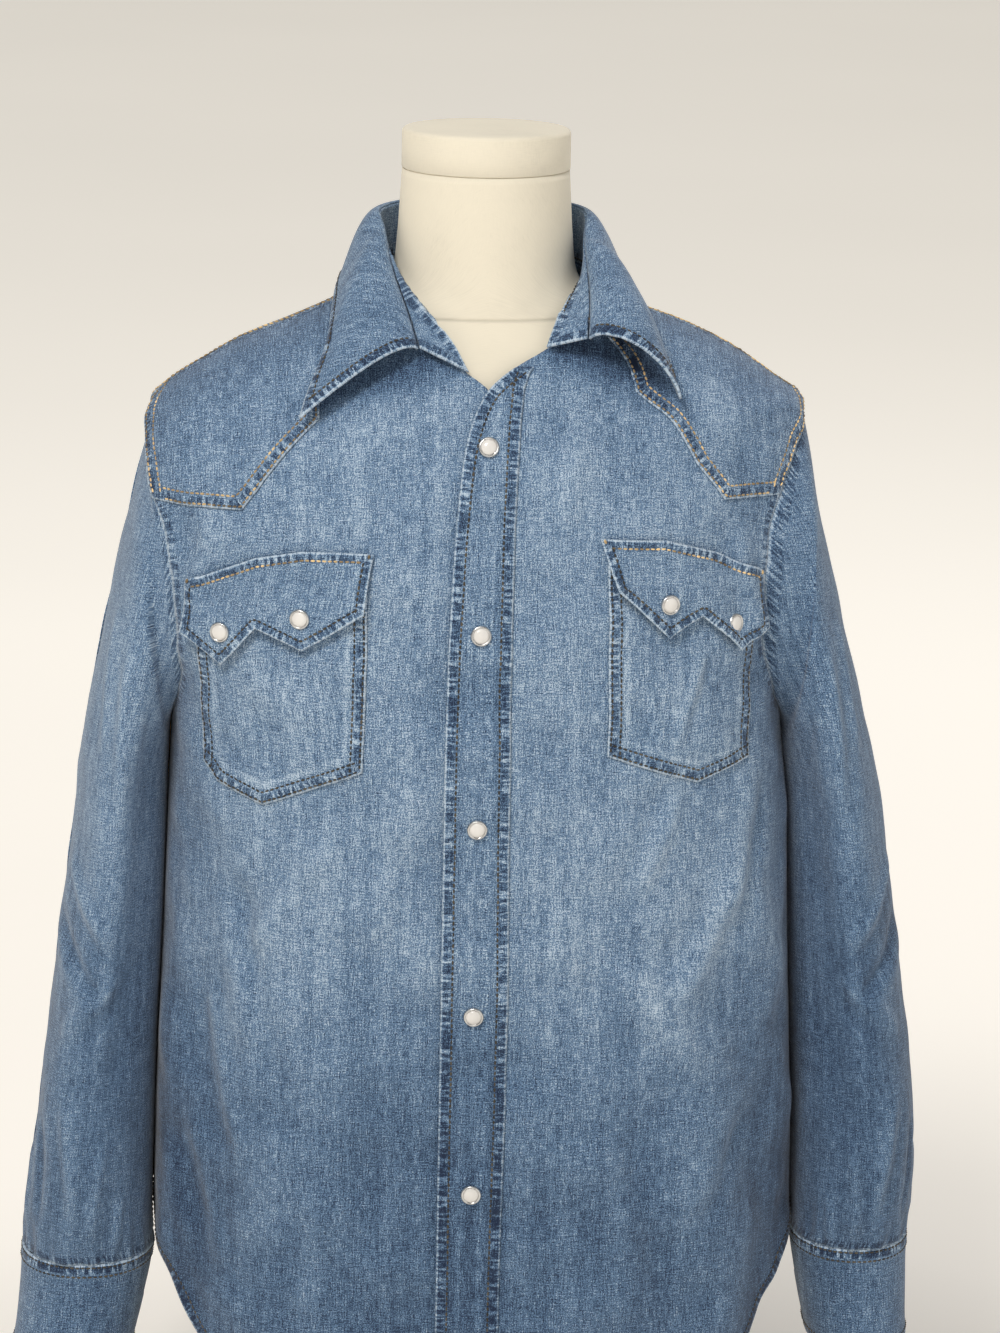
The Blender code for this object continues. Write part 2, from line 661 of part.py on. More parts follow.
def overlay(name, points, normals, rows, low, high, outline, start, thickness, near, far):
    """Piece laid on a panel: rows between two heights, kept inside an outline."""
    keep = [i for i, row in enumerate(rows) if low <= row[-1][1] <= high]
    part = points[keep[0]:keep[-1] + 1]
    facing = normals[keep[0]:keep[-1] + 1]
    obj = offset_wall(name, part, facing, start, thickness)
    return keep_inside(obj, outline, near, far)


def make_shirt_body():
    left_rows, left_points, left_normals = make_front(1, "front_left")
    right_rows, right_points, right_normals = make_front(-1, "front_right")
    rows = back_rows()
    back_points, back_normals = surface(rows)
    back_points = trim_sides(back_points, True, True)
    offset_wall("back", back_points, back_normals, -CLOTH, CLOTH)

    for name, edge, points, normals, panel_rows, near, far in (
        ("yoke_front_left", YOKE_EDGE_LEFT, left_points, left_normals, left_rows, -0.2, 0.02),
        ("yoke_front_right", YOKE_EDGE_RIGHT, right_points, right_normals, right_rows, -0.2, 0.02),
        ("yoke_back", YOKE_EDGE_BACK, back_points, back_normals, rows, -0.02, 0.2),
    ):
        outline = list(edge) + [(edge[-1][0], 0.9), (edge[0][0], 0.9)]
        if name == "yoke_back":
            part = (points, normals)
        else:
            part = (points[:, 3:], normals[:, 3:])
        overlay(name, *part, panel_rows, YOKE_FIRST_ROW, 0.9, outline, SEAM_GAP, OVERLAY, near, far)

    band_rows = [i for i, row in enumerate(left_rows) if row[0][1] <= BAND_TOP + 1e-9]
    band = slice(0, band_rows[-1] + 1)
    offset_wall(
        "placket_top", left_points[band, :3], left_normals[band, :3], SEAM_GAP, OVERLAY,
    )

    for side, points, normals, panel_rows, pocket, flap in (
        ("right", right_points, right_normals, right_rows, POCKET_RIGHT, FLAP_RIGHT),
        ("left", left_points, left_normals, left_rows, POCKET_LEFT, FLAP_LEFT),
    ):
        chest = (points[:, 3:], normals[:, 3:], panel_rows, 0.50, 0.71)
        overlay("pocket_" + side, *chest, pocket, POCKET_OFFSET, OVERLAY, -0.2, -0.01)
        overlay("flap_" + side, *chest, flap, FLAP_OFFSET, FLAP_WALL, -0.2, -0.01)


def armhole_ring(sign):
    """Points and directions round the armhole, from the shoulder down the front and up the back."""
    heights = list(ARMHOLE_ROWS)[::-1]
    points = []
    normals = []
    for height in heights:
        turn = sign * side_turn(height, 3)
        points.append(body_point(turn, height))
        normals.append(body_normal(turn, height))
    for height in heights[-2:0:-1]:
        turn = 180.0 - sign * side_turn(height, 4)
        points.append(body_point(turn, height))
        normals.append(body_normal(turn, height))
    return np.array(points), np.array(normals)


def tube_ring(row, sign, turns, squareness):
    """Ring of a sleeve or cuff; turn 0 is its outer side, 90 its front."""
    outer_x, outer_z, inner_x, inner_z, ahead, behind, middle = row
    centre = np.array((sign * (outer_x + inner_x) / 2, middle, (outer_z + inner_z) / 2))
    axis = np.array((sign * (outer_x - inner_x) / 2, 0.0, (outer_z - inner_z) / 2))
    power = 2.0 / squareness
    ring = []
    for turn in turns:
        c = math.cos(math.radians(turn))
        s = math.sin(math.radians(turn))
        reach = ahead if s >= 0 else behind
        out = axis * math.copysign(abs(c) ** power, c)
        out -= np.array((0.0, math.copysign(reach * abs(s) ** power, s), 0.0))
        rise = fold_rise(SLEEVE_FOLDS, turn, centre[2] + out[2])
        ring.append(centre + out * (1 + rise / np.linalg.norm(out)))
    return np.array(ring)


def make_sleeve(sign, side, table, cuff):
    hole, hole_normals = armhole_ring(sign)
    count = len(hole)
    even = np.arange(count) * 360.0 / count
    tip, pit = ARMHOLE[-1, 0], ARMHOLE[0, 0]
    share = np.clip((tip - hole[:, 2]) / (tip - pit), 0, 1)
    natural = np.degrees(np.arccos(1 - 2 * share))
    natural = np.where(np.arange(count) > count // 2, 360 - natural, natural)
    rings = []
    for i, row in enumerate(table):
        blend = min((i + 1) / SLEEVE_BLEND_RINGS, 1.0)
        rings.append(tube_ring(row, sign, natural * (1 - blend) + even * blend, SLEEVE_SQUARENESS))
    lead = rings[0] - hole
    lead /= np.linalg.norm(lead, axis=1, keepdims=True)
    points = np.array([hole + lead * SEAM_GAP * 1.6] + rings)
    normals = grid_normals(points, True) * -sign
    outward = points[5] - points[5].mean(axis=0)
    if (normals[5] * outward).sum() < 0:
        normals = -normals
    normals[0] = hole_normals
    offset_wall("sleeve_" + side, points, normals, -CLOTH, CLOTH, True)

    first = len(points) - 1 - SLEEVE_BAND_RINGS
    column = SLEEVE_BAND_COLUMN
    strip = (slice(first, None), slice(column, column + 2))
    offset_wall("sleeve_placket_" + side, points[strip], normals[strip], SEAM_GAP, OVERLAY)

    turns = CUFF_SEAM_TURN + np.linspace(0.0, 360.0 + CUFF_LAP_TURN, CUFF_STEPS + 1)
    ramp = np.clip((turns - (CUFF_SEAM_TURN + 360.0 + CUFF_LAP_TURN - CUFF_LAP_RAMP - CUFF_LAP_TURN))
                   / CUFF_LAP_RAMP, 0, 1)
    grid = np.array([tube_ring(row, sign, turns, SLEEVE_SQUARENESS) for row in cuff])
    centres = grid[:, :-1].mean(axis=1, keepdims=True)
    out = grid - centres
    out[:, :, 2] = 0
    out /= np.linalg.norm(out, axis=2, keepdims=True)
    grid = grid + out * (ramp * CUFF_LAP_RISE)[None, :, None]
    wall("cuff_" + side, grid, grid - out * CUFF_WALL)

    mid = len(turns) - 1
    place = (grid[1, mid] + grid[1, mid - 1]) / 2
    facing = np.cross(grid[1, mid] - grid[1, mid - 1], grid[2, mid] - grid[0, mid])
    facing *= math.copysign(1.0, facing @ out[1, mid]) / np.linalg.norm(facing)
    make_snap("snap_cuff_" + side, place + facing * SEAM_GAP, facing)


def collar_stations():
    """Seam, fold and edge points round the neck, from the wearer's right end to the left one."""
    stations = []
    for table, sign, column in ((COLLAR_RIGHT[::-1], -1, 1), (COLLAR_LEFT[1:], 1, 2)):
        for turn, *rest in table:
            height = smooth(NECKLINE, column, turn)
            seam = body_point(sign * turn, height) + body_normal(sign * turn, height) * STAND_LIFT
            fold = np.array((sign * rest[0], -rest[1], rest[2]))
            edge = np.array((sign * rest[3], -rest[4], rest[5]))
            stations.append((seam, fold, edge, rest[6]))
    return stations


def make_collar():
    stations = collar_stations()
    seams = np.array([s[0] for s in stations])
    folds = np.array([s[1] for s in stations])
    edges = np.array([s[2] for s in stations])
    bulges = np.array([s[3] for s in stations])[:, None]

    grid = np.array([seams, seams * 0.5 + folds * 0.5, folds])
    normals = grid_normals(grid, False)
    if (normals[1] * (grid[1] - grid[1].mean(axis=0)))[:, :2].sum() < 0:
        normals = -normals
    offset_wall("collar_stand", grid, normals, -DOUBLE_CLOTH / 2, DOUBLE_CLOTH)

    flat = edges - folds
    flat[:, 2] = 0
    flat /= np.linalg.norm(flat, axis=1, keepdims=True)
    up = np.array((0.0, 0.0, 1.0))
    along = np.gradient(folds, axis=0)
    along /= np.linalg.norm(along, axis=1, keepdims=True)
    rise = folds - seams
    rise -= along * (rise * along).sum(axis=1, keepdims=True)
    rise /= np.linalg.norm(rise, axis=1, keepdims=True)
    start = folds + rise * LEAF_LIFT
    first = start + flat * LEAF_ROLL + up * 0.0015
    second = (start + edges) / 2 + (flat + up) * bulges
    rows = []
    for t in LEAF_STEPS:
        rows.append(
            start * (1 - t) ** 3 + first * 3 * t * (1 - t) ** 2
            + second * 3 * t ** 2 * (1 - t) + edges * t ** 3
        )
    leaf = np.array(rows)
    normals = grid_normals(leaf, False)
    if (normals[-2] * flat).sum() < 0:
        normals = -normals
    offset_wall("collar", leaf, normals, -LEAF_WALL / 2, LEAF_WALL)


def make_snap(name, place, facing):
    """Pearl snap cap standing on a point of the cloth, turned to face outward."""
    profile = (
        (SNAP_RADIUS - 0.0004, 0.0), (SNAP_RADIUS, 0.0005), (SNAP_RADIUS, SNAP_EDGE_HEIGHT - 0.0004),
        (SNAP_RADIUS - SNAP_RIM * 0.4, SNAP_EDGE_HEIGHT), (SNAP_RADIUS - SNAP_RIM, SNAP_EDGE_HEIGHT),
        (SNAP_RADIUS * 0.6, SNAP_HEIGHT - 0.0004), (SNAP_RADIUS * 0.3, SNAP_HEIGHT),
    )
    facing = Vector(facing).normalized()
    turn = facing.to_track_quat("Z", "Y")
    base = Vector(place) + facing * SEAM_GAP
    bm = bmesh.new()
    rings = []
    for radius, height in profile:
        ring = []
        for i in range(SNAP_SIDES):
            angle = 2 * math.pi * i / SNAP_SIDES
            ring.append(bm.verts.new(
                base + turn @ Vector((radius * math.cos(angle), radius * math.sin(angle), height))
            ))
        rings.append(ring)
    for lower, upper in zip(rings, rings[1:]):
        for i in range(SNAP_SIDES):
            j = (i + 1) % SNAP_SIDES
            bm.faces.new((lower[i], lower[j], upper[j], upper[i]))
    bm.faces.new(rings[0][::-1])
    bm.faces.new(rings[-1])
    add_object(name, bm, PEARL, rounded=True)


def make_snaps():
    for i, (x, z) in enumerate(FRONT_SNAPS):
        place, facing = front_height(x, z)
        make_snap("snap_front_%d" % (i + 1), place + facing * (SEAM_GAP + OVERLAY), facing)
    for name, (x, z) in POCKET_SNAPS.items():
        place, facing = front_height(x, z)
        make_snap("snap_pocket_" + name, place + facing * (FLAP_OFFSET + FLAP_WALL), facing)


def ring_stack(name, rings, look, metallic=0.0):
    """Closed solid through a stack of rings with flat ends."""
    bm = bmesh.new()
    loops = [[bm.verts.new(p) for p in ring] for ring in rings]
    count = len(loops[0])
    for lower, upper in zip(loops, loops[1:]):
        for i in range(count):
            j = (i + 1) % count
            bm.faces.new((lower[i], lower[j], upper[j], upper[i]))
    bm.faces.new(loops[0][::-1])
    bm.faces.new(loops[-1])
    return add_object(name, bm, look, rounded=True, metallic=metallic)


def turned(name, profile, look, metallic=0.0):
    """Round solid on the middle axis from rows of radius and height."""
    rings = []
    for radius, height in profile:
        angles = 2 * math.pi * np.arange(ROUND_SIDES) / ROUND_SIDES
        rings.append(np.stack(
            (radius * np.cos(angles), radius * np.sin(angles), np.full(ROUND_SIDES, height)), axis=1,
        ))
    return ring_stack(name, rings, look, metallic)


def form_inset(turn):
    """Depth of the form below the shirt's outer face: least along the shoulders."""
    share = math.sin(math.radians(turn)) ** 2
    return FORM_INSET_FACE + (FORM_INSET_SIDE - FORM_INSET_FACE) * share


def make_form():
    turns = np.arange(FORM_SIDES) * 360.0 / FORM_SIDES
    rings = [np.array([oval_point(*row[1:], turn, row[0]) for turn in turns]) for row in FORM]
    for height in FORM_CONTACT_ROWS:
        rings.append(np.array([
            body_point(turn, height) - body_normal(turn, height) * form_inset(turn) for turn in turns
        ]))
    rings += [np.array([oval_point(*row[1:], turn, row[0]) for turn in turns]) for row in NECK]
    ring_stack("form_torso", rings, LINEN)

    low = NECK_TOP + SEAM_GAP
    high = low + CAP_HEIGHT
    turned("form_cap", (
        (CAP_RADIUS - 0.0005, low), (CAP_RADIUS, low + 0.001), (CAP_RADIUS, high - CAP_ROUNDING),
        (CAP_RADIUS - CAP_ROUNDING * 0.3, high - CAP_ROUNDING * 0.3), (CAP_RADIUS - CAP_ROUNDING, high),
    ), LINEN)
    turned("form_post", (
        (POST_RADIUS, BASE_THICKNESS + SEAM_GAP), (POST_RADIUS, FORM[0, 0] - SEAM_GAP),
    ), STEEL, 1.0)
    turned("form_base", (
        (BASE_RADIUS - 0.001, 0.0), (BASE_RADIUS, 0.001), (BASE_RADIUS, BASE_THICKNESS - BASE_ROUNDING),
        (BASE_RADIUS - BASE_ROUNDING * 0.3, BASE_THICKNESS - BASE_ROUNDING * 0.3),
        (BASE_RADIUS - BASE_ROUNDING, BASE_THICKNESS),
    ), STEEL, 1.0)


clear_scene()
make_form()
make_shirt_body()
make_sleeve(-1, "right", SLEEVE_RIGHT, CUFF_RIGHT)
make_sleeve(1, "left", SLEEVE_LEFT, CUFF_LEFT)
make_collar()
make_snaps()
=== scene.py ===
import math

import bmesh
import bpy
import numpy as np
from mathutils import Matrix, Vector


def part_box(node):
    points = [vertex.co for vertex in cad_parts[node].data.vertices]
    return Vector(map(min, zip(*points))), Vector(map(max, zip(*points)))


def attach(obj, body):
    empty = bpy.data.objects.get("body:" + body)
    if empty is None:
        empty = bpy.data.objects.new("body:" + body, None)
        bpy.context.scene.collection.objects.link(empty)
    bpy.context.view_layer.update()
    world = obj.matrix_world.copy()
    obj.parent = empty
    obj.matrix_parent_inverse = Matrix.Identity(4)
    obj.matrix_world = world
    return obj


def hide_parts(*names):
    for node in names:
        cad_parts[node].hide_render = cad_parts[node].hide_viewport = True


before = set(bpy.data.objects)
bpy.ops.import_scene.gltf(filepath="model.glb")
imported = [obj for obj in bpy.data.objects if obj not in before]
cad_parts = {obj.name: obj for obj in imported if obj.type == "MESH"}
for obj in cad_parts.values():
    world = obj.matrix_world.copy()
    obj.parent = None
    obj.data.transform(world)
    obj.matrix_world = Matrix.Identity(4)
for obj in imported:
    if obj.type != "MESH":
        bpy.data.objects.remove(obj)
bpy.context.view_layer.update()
print("stage: frame loaded")

# The shirt body: turn 0 is centre front, 90 the wearer's left side, 180 centre back.
body = {
    # height, half width right, half width left, reach ahead, reach behind, squareness
    "rings": np.array([
        (0.095, 0.2020, 0.2050, 0.130, 0.120, 2.50), (0.200, 0.2010, 0.2045, 0.131, 0.121, 2.50),
        (0.300, 0.2000, 0.2020, 0.132, 0.121, 2.50), (0.400, 0.1955, 0.1970, 0.132, 0.121, 2.50),
        (0.500, 0.1910, 0.1925, 0.131, 0.120, 2.50), (0.560, 0.1885, 0.1870, 0.130, 0.119, 2.50),
        (0.590, 0.1940, 0.1860, 0.1285, 0.118, 2.45), (0.620, 0.2050, 0.1880, 0.127, 0.1175, 2.40),
        (0.650, 0.2155, 0.1915, 0.124, 0.116, 2.40), (0.680, 0.2200, 0.1945, 0.120, 0.1145, 2.35),
        (0.705, 0.2225, 0.1965, 0.1145, 0.112, 2.30), (0.730, 0.2165, 0.1965, 0.107, 0.107, 2.20),
        (0.745, 0.2070, 0.1960, 0.101, 0.102, 2.15), (0.757, 0.1956, 0.1935, 0.095, 0.098, 2.10),
        (0.766, 0.1845, 0.1800, 0.0905, 0.095, 2.08), (0.776, 0.1680, 0.1660, 0.0855, 0.091, 2.05),
        (0.788, 0.1475, 0.1470, 0.0790, 0.086, 2.02), (0.800, 0.1180, 0.1215, 0.0720, 0.080, 2.00),
        (0.812, 0.0910, 0.0890, 0.0650, 0.073, 2.00), (0.823, 0.0710, 0.0700, 0.0602, 0.066, 2.00),
        (0.835, 0.0600, 0.0590, 0.0560, 0.060, 2.00),
    ]),
    # main folds: turn at the top and at the bottom, top, bottom, half width, rise
    "folds": (
        (27.0, 44.0, 0.50, 0.22, 9.0, 0.0045), (46.0, 66.0, 0.56, 0.34, 9.0, 0.0045),
        (60.0, 62.0, 0.42, 0.10, 10.0, -0.0050), (13.0, 17.0, 0.44, 0.10, 9.0, 0.0030),
        (-34.0, -29.0, 0.51, 0.14, 10.0, 0.0045), (-56.0, -60.0, 0.54, 0.20, 10.0, -0.0050),
        (-72.0, -68.0, 0.44, 0.16, 8.0, 0.0030), (-14.0, -18.0, 0.40, 0.10, 9.0, -0.0025),
        (128.0, 122.0, 0.60, 0.14, 10.0, -0.0050), (148.0, 152.0, 0.67, 0.10, 10.0, 0.0055),
        (172.0, 168.0, 0.62, 0.10, 9.0, -0.0045), (196.0, 200.0, 0.64, 0.10, 9.0, 0.0045),
        (214.0, 220.0, 0.66, 0.12, 10.0, -0.0045), (234.0, 236.0, 0.58, 0.16, 10.0, 0.0040),
    ),
    # lesser creases and painted shade: turn, height at one end, turn, height at the other, width, rise, paleness
    # (below zero it is painted shade)
    "creases": (
        # painted shade under the collar's two fronts, standing in for the deep shadow there
        (12.0, 0.808, 44.0, 0.772, 0.027, 0.0, -0.95), (-3.0, 0.800, -39.0, 0.764, 0.024, 0.0, -0.80),
        (34.0, 0.545, 22.0, 0.470, 0.006, 0.0011, 0.10), (26.0, 0.600, 29.0, 0.565, 0.003, 0.0005, 0.16),
        (31.0, 0.562, 40.0, 0.625, 0.004, 0.0006, 0.12), (6.3, 0.533, 8.6, 0.519, 0.0008, 0.0002, 0.40),
        (6.6, 0.396, 9.4, 0.377, 0.0008, 0.0002, 0.45), (18.0, 0.440, 38.0, 0.350, 0.008, 0.0013, 0.06),
        (50.0, 0.490, 30.0, 0.400, 0.008, 0.0012, 0.05), (52.0, 0.330, 36.0, 0.250, 0.009, -0.0012, 0.00),
        (62.0, 0.540, 48.0, 0.440, 0.008, -0.0012, 0.00), (-20.0, 0.520, -44.0, 0.430, 0.009, 0.0012, 0.05),
        (-50.0, 0.500, -30.0, 0.330, 0.009, -0.0012, 0.00), (-58.0, 0.420, -40.0, 0.290, 0.008, 0.0012, 0.06),
        (-62.0, 0.330, -46.0, 0.220, 0.009, 0.0011, 0.04), (-10.0, 0.560, -16.0, 0.430, 0.007, 0.0008, 0.05),
        (-20.0, 0.745, -16.0, 0.690, 0.006, 0.0007, 0.04), (14.0, 0.760, 10.0, 0.690, 0.006, 0.0007, 0.04),
        (-44.0, 0.700, -52.0, 0.640, 0.007, 0.0009, 0.03), (46.0, 0.700, 55.0, 0.620, 0.007, 0.0009, 0.03),
        (20.0, 0.340, 30.0, 0.200, 0.008, -0.0010, 0.00), (-22.0, 0.330, -27.0, 0.170, 0.008, 0.0010, 0.04),
        (8.0, 0.480, 12.0, 0.400, 0.005, 0.0007, 0.06), (-9.0, 0.330, -12.0, 0.250, 0.006, 0.0008, 0.03),
        (140.0, 0.660, 162.0, 0.560, 0.008, 0.0013, 0.05), (222.0, 0.650, 200.0, 0.540, 0.008, 0.0013, 0.05),
        (128.0, 0.520, 150.0, 0.430, 0.009, 0.0014, 0.04), (232.0, 0.540, 212.0, 0.440, 0.009, -0.0014, 0.00),
        (150.0, 0.400, 190.0, 0.365, 0.010, 0.0012, 0.04), (205.0, 0.360, 176.0, 0.300, 0.010, -0.0012, 0.00),
        (135.0, 0.340, 142.0, 0.220, 0.009, 0.0013, 0.03), (216.0, 0.310, 224.0, 0.200, 0.009, 0.0012, 0.03),
        (165.0, 0.700, 171.0, 0.600, 0.008, 0.0010, 0.04), (194.0, 0.695, 189.0, 0.610, 0.008, 0.0010, 0.04),
        (180.0, 0.270, 176.0, 0.160, 0.009, 0.0011, 0.02), (158.0, 0.530, 168.0, 0.440, 0.008, -0.0010, 0.00),
    ),
    "armhole": np.array([
        (0.560, 0.000, 0.000), (0.570, 0.033, 0.036), (0.590, 0.055, 0.062), (0.620, 0.069, 0.079),
        (0.650, 0.074, 0.084), (0.680, 0.070, 0.080), (0.705, 0.060, 0.068), (0.730, 0.042, 0.046),
        (0.745, 0.022, 0.025), (0.757, 0.000, 0.000),
    ]),
    "neckline": np.array([
        (4.6, 0.7830, 0.7830), (11.0, 0.8000, 0.7900), (15.0, 0.8055, 0.7961), (24.0, 0.8135, 0.8090),
        (36.5, 0.8200, 0.8190), (44.0, 0.8235, 0.8230), (65.0, 0.8290, 0.8290), (90.0, 0.8320, 0.8320),
        (180.0, 0.8345, 0.8345),
    ]),
    "hem": np.array([
        (0.0, 0.130), (30.0, 0.138), (45.0, 0.153), (57.0, 0.174), (68.0, 0.200), (84.0, 0.228),
        (90.0, 0.235), (110.0, 0.205), (125.0, 0.165), (145.0, 0.130), (180.0, 0.115),
    ]),
    # height, free edge, inner edge of the band
    "band": np.array([
        (0.100, -0.0270, 0.0115), (0.200, -0.0270, 0.0115), (0.400, -0.0265, 0.0138),
        (0.600, -0.0252, 0.0128), (0.660, -0.0229, 0.0135), (0.716, -0.0187, 0.0150),
        (0.744, -0.0145, 0.0169), (0.757, -0.0105, 0.0178), (0.766, -0.0065, 0.0190),
        (0.776, 0.0005, 0.0205), (0.788, 0.0170, 0.0270), (0.7961, 0.0330, 0.0400),
    ]),
    "underEdge": np.array([
        (0.100, 0.0110), (0.735, 0.0110), (0.757, 0.0080), (0.766, 0.0050), (0.776, -0.0020),
        (0.783, -0.0125),
    ]),
    "underTuck": 0.0019, "tuckRun": 0.018, "foldRun": 0.10, "creaseGain": 2.8,
    "gridStep": 0.0034, "wall": 0.0010,
    "skirtTop": 0.26, "lastRing": 0.823,
    "frontFlat": (0.30, 0.76), "backFlat": (0.52, 0.76),
}
degreeArc = 0.0027  # metres of cloth for a degree of turn, near enough for creases
cloth = {"gap": 0.0003, "overlay": 0.0010, "flapLift": 0.0018, "yokeRows": (0.0018, 0.0078),
         "armRows": (0.0018, 0.0080), "hemRow": 0.0075, "threadLift": 0.0001}


def slopesOf(xs, ys):
    slopes = np.diff(ys) / np.diff(xs)
    inner = np.where(slopes[:-1] * slopes[1:] > 0, (slopes[:-1] + slopes[1:]) / 2, 0.0)
    limit = 3 * np.minimum(abs(slopes[:-1]), abs(slopes[1:]))
    return np.concatenate(([slopes[0]], np.clip(inner, -limit, limit), [slopes[-1]]))


def curveAt(table, column, at):
    xs, ys = table[:, 0], table[:, column]
    at = np.clip(at, xs[0], xs[-1])
    i = np.clip(np.searchsorted(xs, at) - 1, 0, len(xs) - 2)
    slope = slopesOf(xs, ys)
    span = xs[i + 1] - xs[i]
    t = (at - xs[i]) / span
    return (ys[i] * (2 * t ** 3 - 3 * t ** 2 + 1) + slope[i] * span * (t ** 3 - 2 * t ** 2 + t)
            + ys[i + 1] * (3 * t ** 2 - 2 * t ** 3) + slope[i + 1] * span * (t ** 3 - t ** 2))


def ease(share):
    share = np.clip(share, 0.0, 1.0)
    return share * share * (3 - 2 * share)


def unit(vectors):
    return vectors / np.maximum(np.linalg.norm(vectors, axis=-1, keepdims=True), 1e-12)


def foldRise(folds, turn, height):
    total = np.zeros(np.broadcast(turn, height).shape)
    for topTurn, bottomTurn, top, bottom, half, rise in folds:
        down = np.clip((top - height) / (top - bottom), 0.0, 1.0)
        away = (turn - topTurn - (bottomTurn - topTurn) * down + 180.0) % 360.0 - 180.0
        across = ease(1 - abs(away) / (2 * half))
        along = ease((top - height) / body["foldRun"]) * ease((height - bottom) / body["foldRun"] + 1)
        total = total + rise * across * along
    return total


def creaseRise(creases, aside, height, scale):
    # each crease is a soft ridge with a shallow trough on one side, faded at both ends
    rise = np.zeros(np.broadcast(aside, height).shape)
    pale = np.zeros_like(rise)
    for a0, h0, a1, h1, width, up, paleAndShade in creases:
        run = np.array(((a1 - a0) * scale, h1 - h0))
        length = np.hypot(*run)
        gapU, gapV = (aside - a0) * scale, height - h0
        along = (gapU * run[0] + gapV * run[1]) / length ** 2
        off = (gapU * run[1] - gapV * run[0]) / length
        ends = ease(along * 4) * ease((1 - along) * 4) * (along > 0) * (along < 1)
        ridge = np.exp(-(off / width) ** 2)
        trough = np.exp(-((off - 1.9 * width) / (1.3 * width)) ** 2)
        rise = rise + up * ends * (ridge - 0.45 * trough)
        # paleness along each line: pale worn creases where it is above zero, painted shade where it is below zero
        pale = pale + 0.5 * paleAndShade * ends * np.exp(-(off / (0.6 * width)) ** 2)
    return rise, pale


def rumple(aside, height):
    # slight unevenness of washed cloth
    waves = ((38, 61, 0.3, 0.30), (-71, 44, 1.7, 0.24), (103, 88, 2.9, 0.17), (-45, 132, 0.8, 0.17),
             (150, -70, 4.1, 0.11), (60, 205, 5.2, 0.09), (210, 120, 2.2, 0.06))
    return sum(size * 0.001 * np.sin(a * aside + b * height + phase) for a, b, phase, size in waves)


def bodyShape(turn, height):
    side, face = np.sin(np.radians(turn)), np.cos(np.radians(turn))
    rings = body["rings"]
    half = np.where(side >= 0, curveAt(rings, 2, height), curveAt(rings, 1, height))
    ahead = curveAt(rings, 3, height)
    reach = np.where(face >= 0, ahead, curveAt(rings, 4, height))
    power = 2.0 / curveAt(rings, 5, height)
    x = np.sign(side) * half * abs(side) ** power
    y = -np.sign(face) * reach * abs(face) ** power
    point = np.stack((x, y, height + 0 * x), -1)
    out = unit(np.stack((x / half ** 2, y / ahead ** 2, 0 * x), -1))
    return point, out


def bodyRelief(turn, height):
    turn = (turn + 90.0) % 360.0 - 90.0
    fold = foldRise(body["folds"], turn, height)
    crease, pale = creaseRise(body["creases"], turn, height, degreeArc)
    calm = ease((abs(abs((turn + 180) % 360 - 180) - 90.0) - 3) / 14) * ease((0.80 - height) / 0.06)
    small = body["creaseGain"] * (crease + rumple(turn * degreeArc, height)) * calm
    # the lapped sides swell slightly towards the sleeves
    swell = 0.0009 * (1 - calm) * ease((0.57 - height) / 0.03) * (height < 0.6)
    # second value: the creases' paleness (worn pale lines, and painted shade under the collar fronts); folds and
    # creases also turn paler on their ridges, partly wear and partly painted light, and darker in their troughs as
    # painted shade
    return fold + small + swell, pale + np.clip(fold / 0.005, -1, 1) * 0.06 + np.clip(small / 0.0015, -1, 1) * 0.04


def bodyPoint(turn, height):
    point, out = bodyShape(turn, height)
    return point + out * bodyRelief(turn, height)[0][..., None]


def bodySurface(turn, height):
    along = bodyPoint(turn + 0.5, height) - bodyPoint(turn - 0.5, height)
    up = bodyPoint(turn, height + 0.001) - bodyPoint(turn, height - 0.001)
    return bodyPoint(turn, height), unit(np.cross(along, up))


def turnOfAside(x, height):
    rings = body["rings"]
    half = np.where(x >= 0, curveAt(rings, 2, height), curveAt(rings, 1, height))
    share = np.minimum(abs(x) / half, 1.0) ** (curveAt(rings, 5, height) / 2)
    return np.sign(x) * np.degrees(np.arcsin(share))


def hemHeight(turn):
    return curveAt(body["hem"], 1, abs((turn + 180) % 360 - 180))


def sideTurn(height, column):
    armhole = body["armhole"]
    reach = np.where((height > armhole[0, 0]) & (height < armhole[-1, 0]),
                     curveAt(armhole, column - 2, height), 0.0)
    rings = body["rings"]
    share = np.minimum(reach / curveAt(rings, column, height), 1.0) ** (curveAt(rings, 5, height) / 2)
    return np.degrees(np.arccos(share))


def evenTurns(start, end, height, count):
    # turns between two ends, evenly spaced along the cloth
    fine = np.linspace(start, end, 240)
    point = bodyShape(fine, np.full(240, height))[0]
    run = np.concatenate(([0], np.cumsum(np.linalg.norm(np.diff(point, axis=0), axis=1))))
    return np.interp(np.linspace(0, run[-1], count), run, fine)


def panelGrid(ends, topEnds, columns):
    # rows of turn and height: hem to skirt top, skirt top to the last ring, then up to the neckline
    step = body["gridStep"]
    skirt = evenTurns(*ends(body["skirtTop"]), body["skirtTop"], columns)
    shares = np.linspace(0, 1, int(0.125 / step))[:-1]
    turns = [skirt] * len(shares)
    heights = [hemHeight(skirt) + (body["skirtTop"] - hemHeight(skirt)) * s for s in shares]
    for height in np.arange(body["skirtTop"], body["lastRing"], step):
        turns.append(evenTurns(*ends(height), height, columns))
        heights.append(np.full(columns, height))
    first, last = topEnds
    topTurns = np.linspace(first, last, columns)
    topHeights = curveAt(body["neckline"], 2 if last > 0 and last < 100 else 1, 180 - abs(180 - abs(topTurns)))
    # the last rows move from an even ring towards the neckline's own spacing
    ringTurns = turns[-1]
    for share in (0.25, 0.5, 0.75, 1.0):
        turns.append(ringTurns + (topTurns - ringTurns) * share)
        heights.append(body["lastRing"] + (topHeights - body["lastRing"]) * share)
    return np.array(turns), np.array(heights)


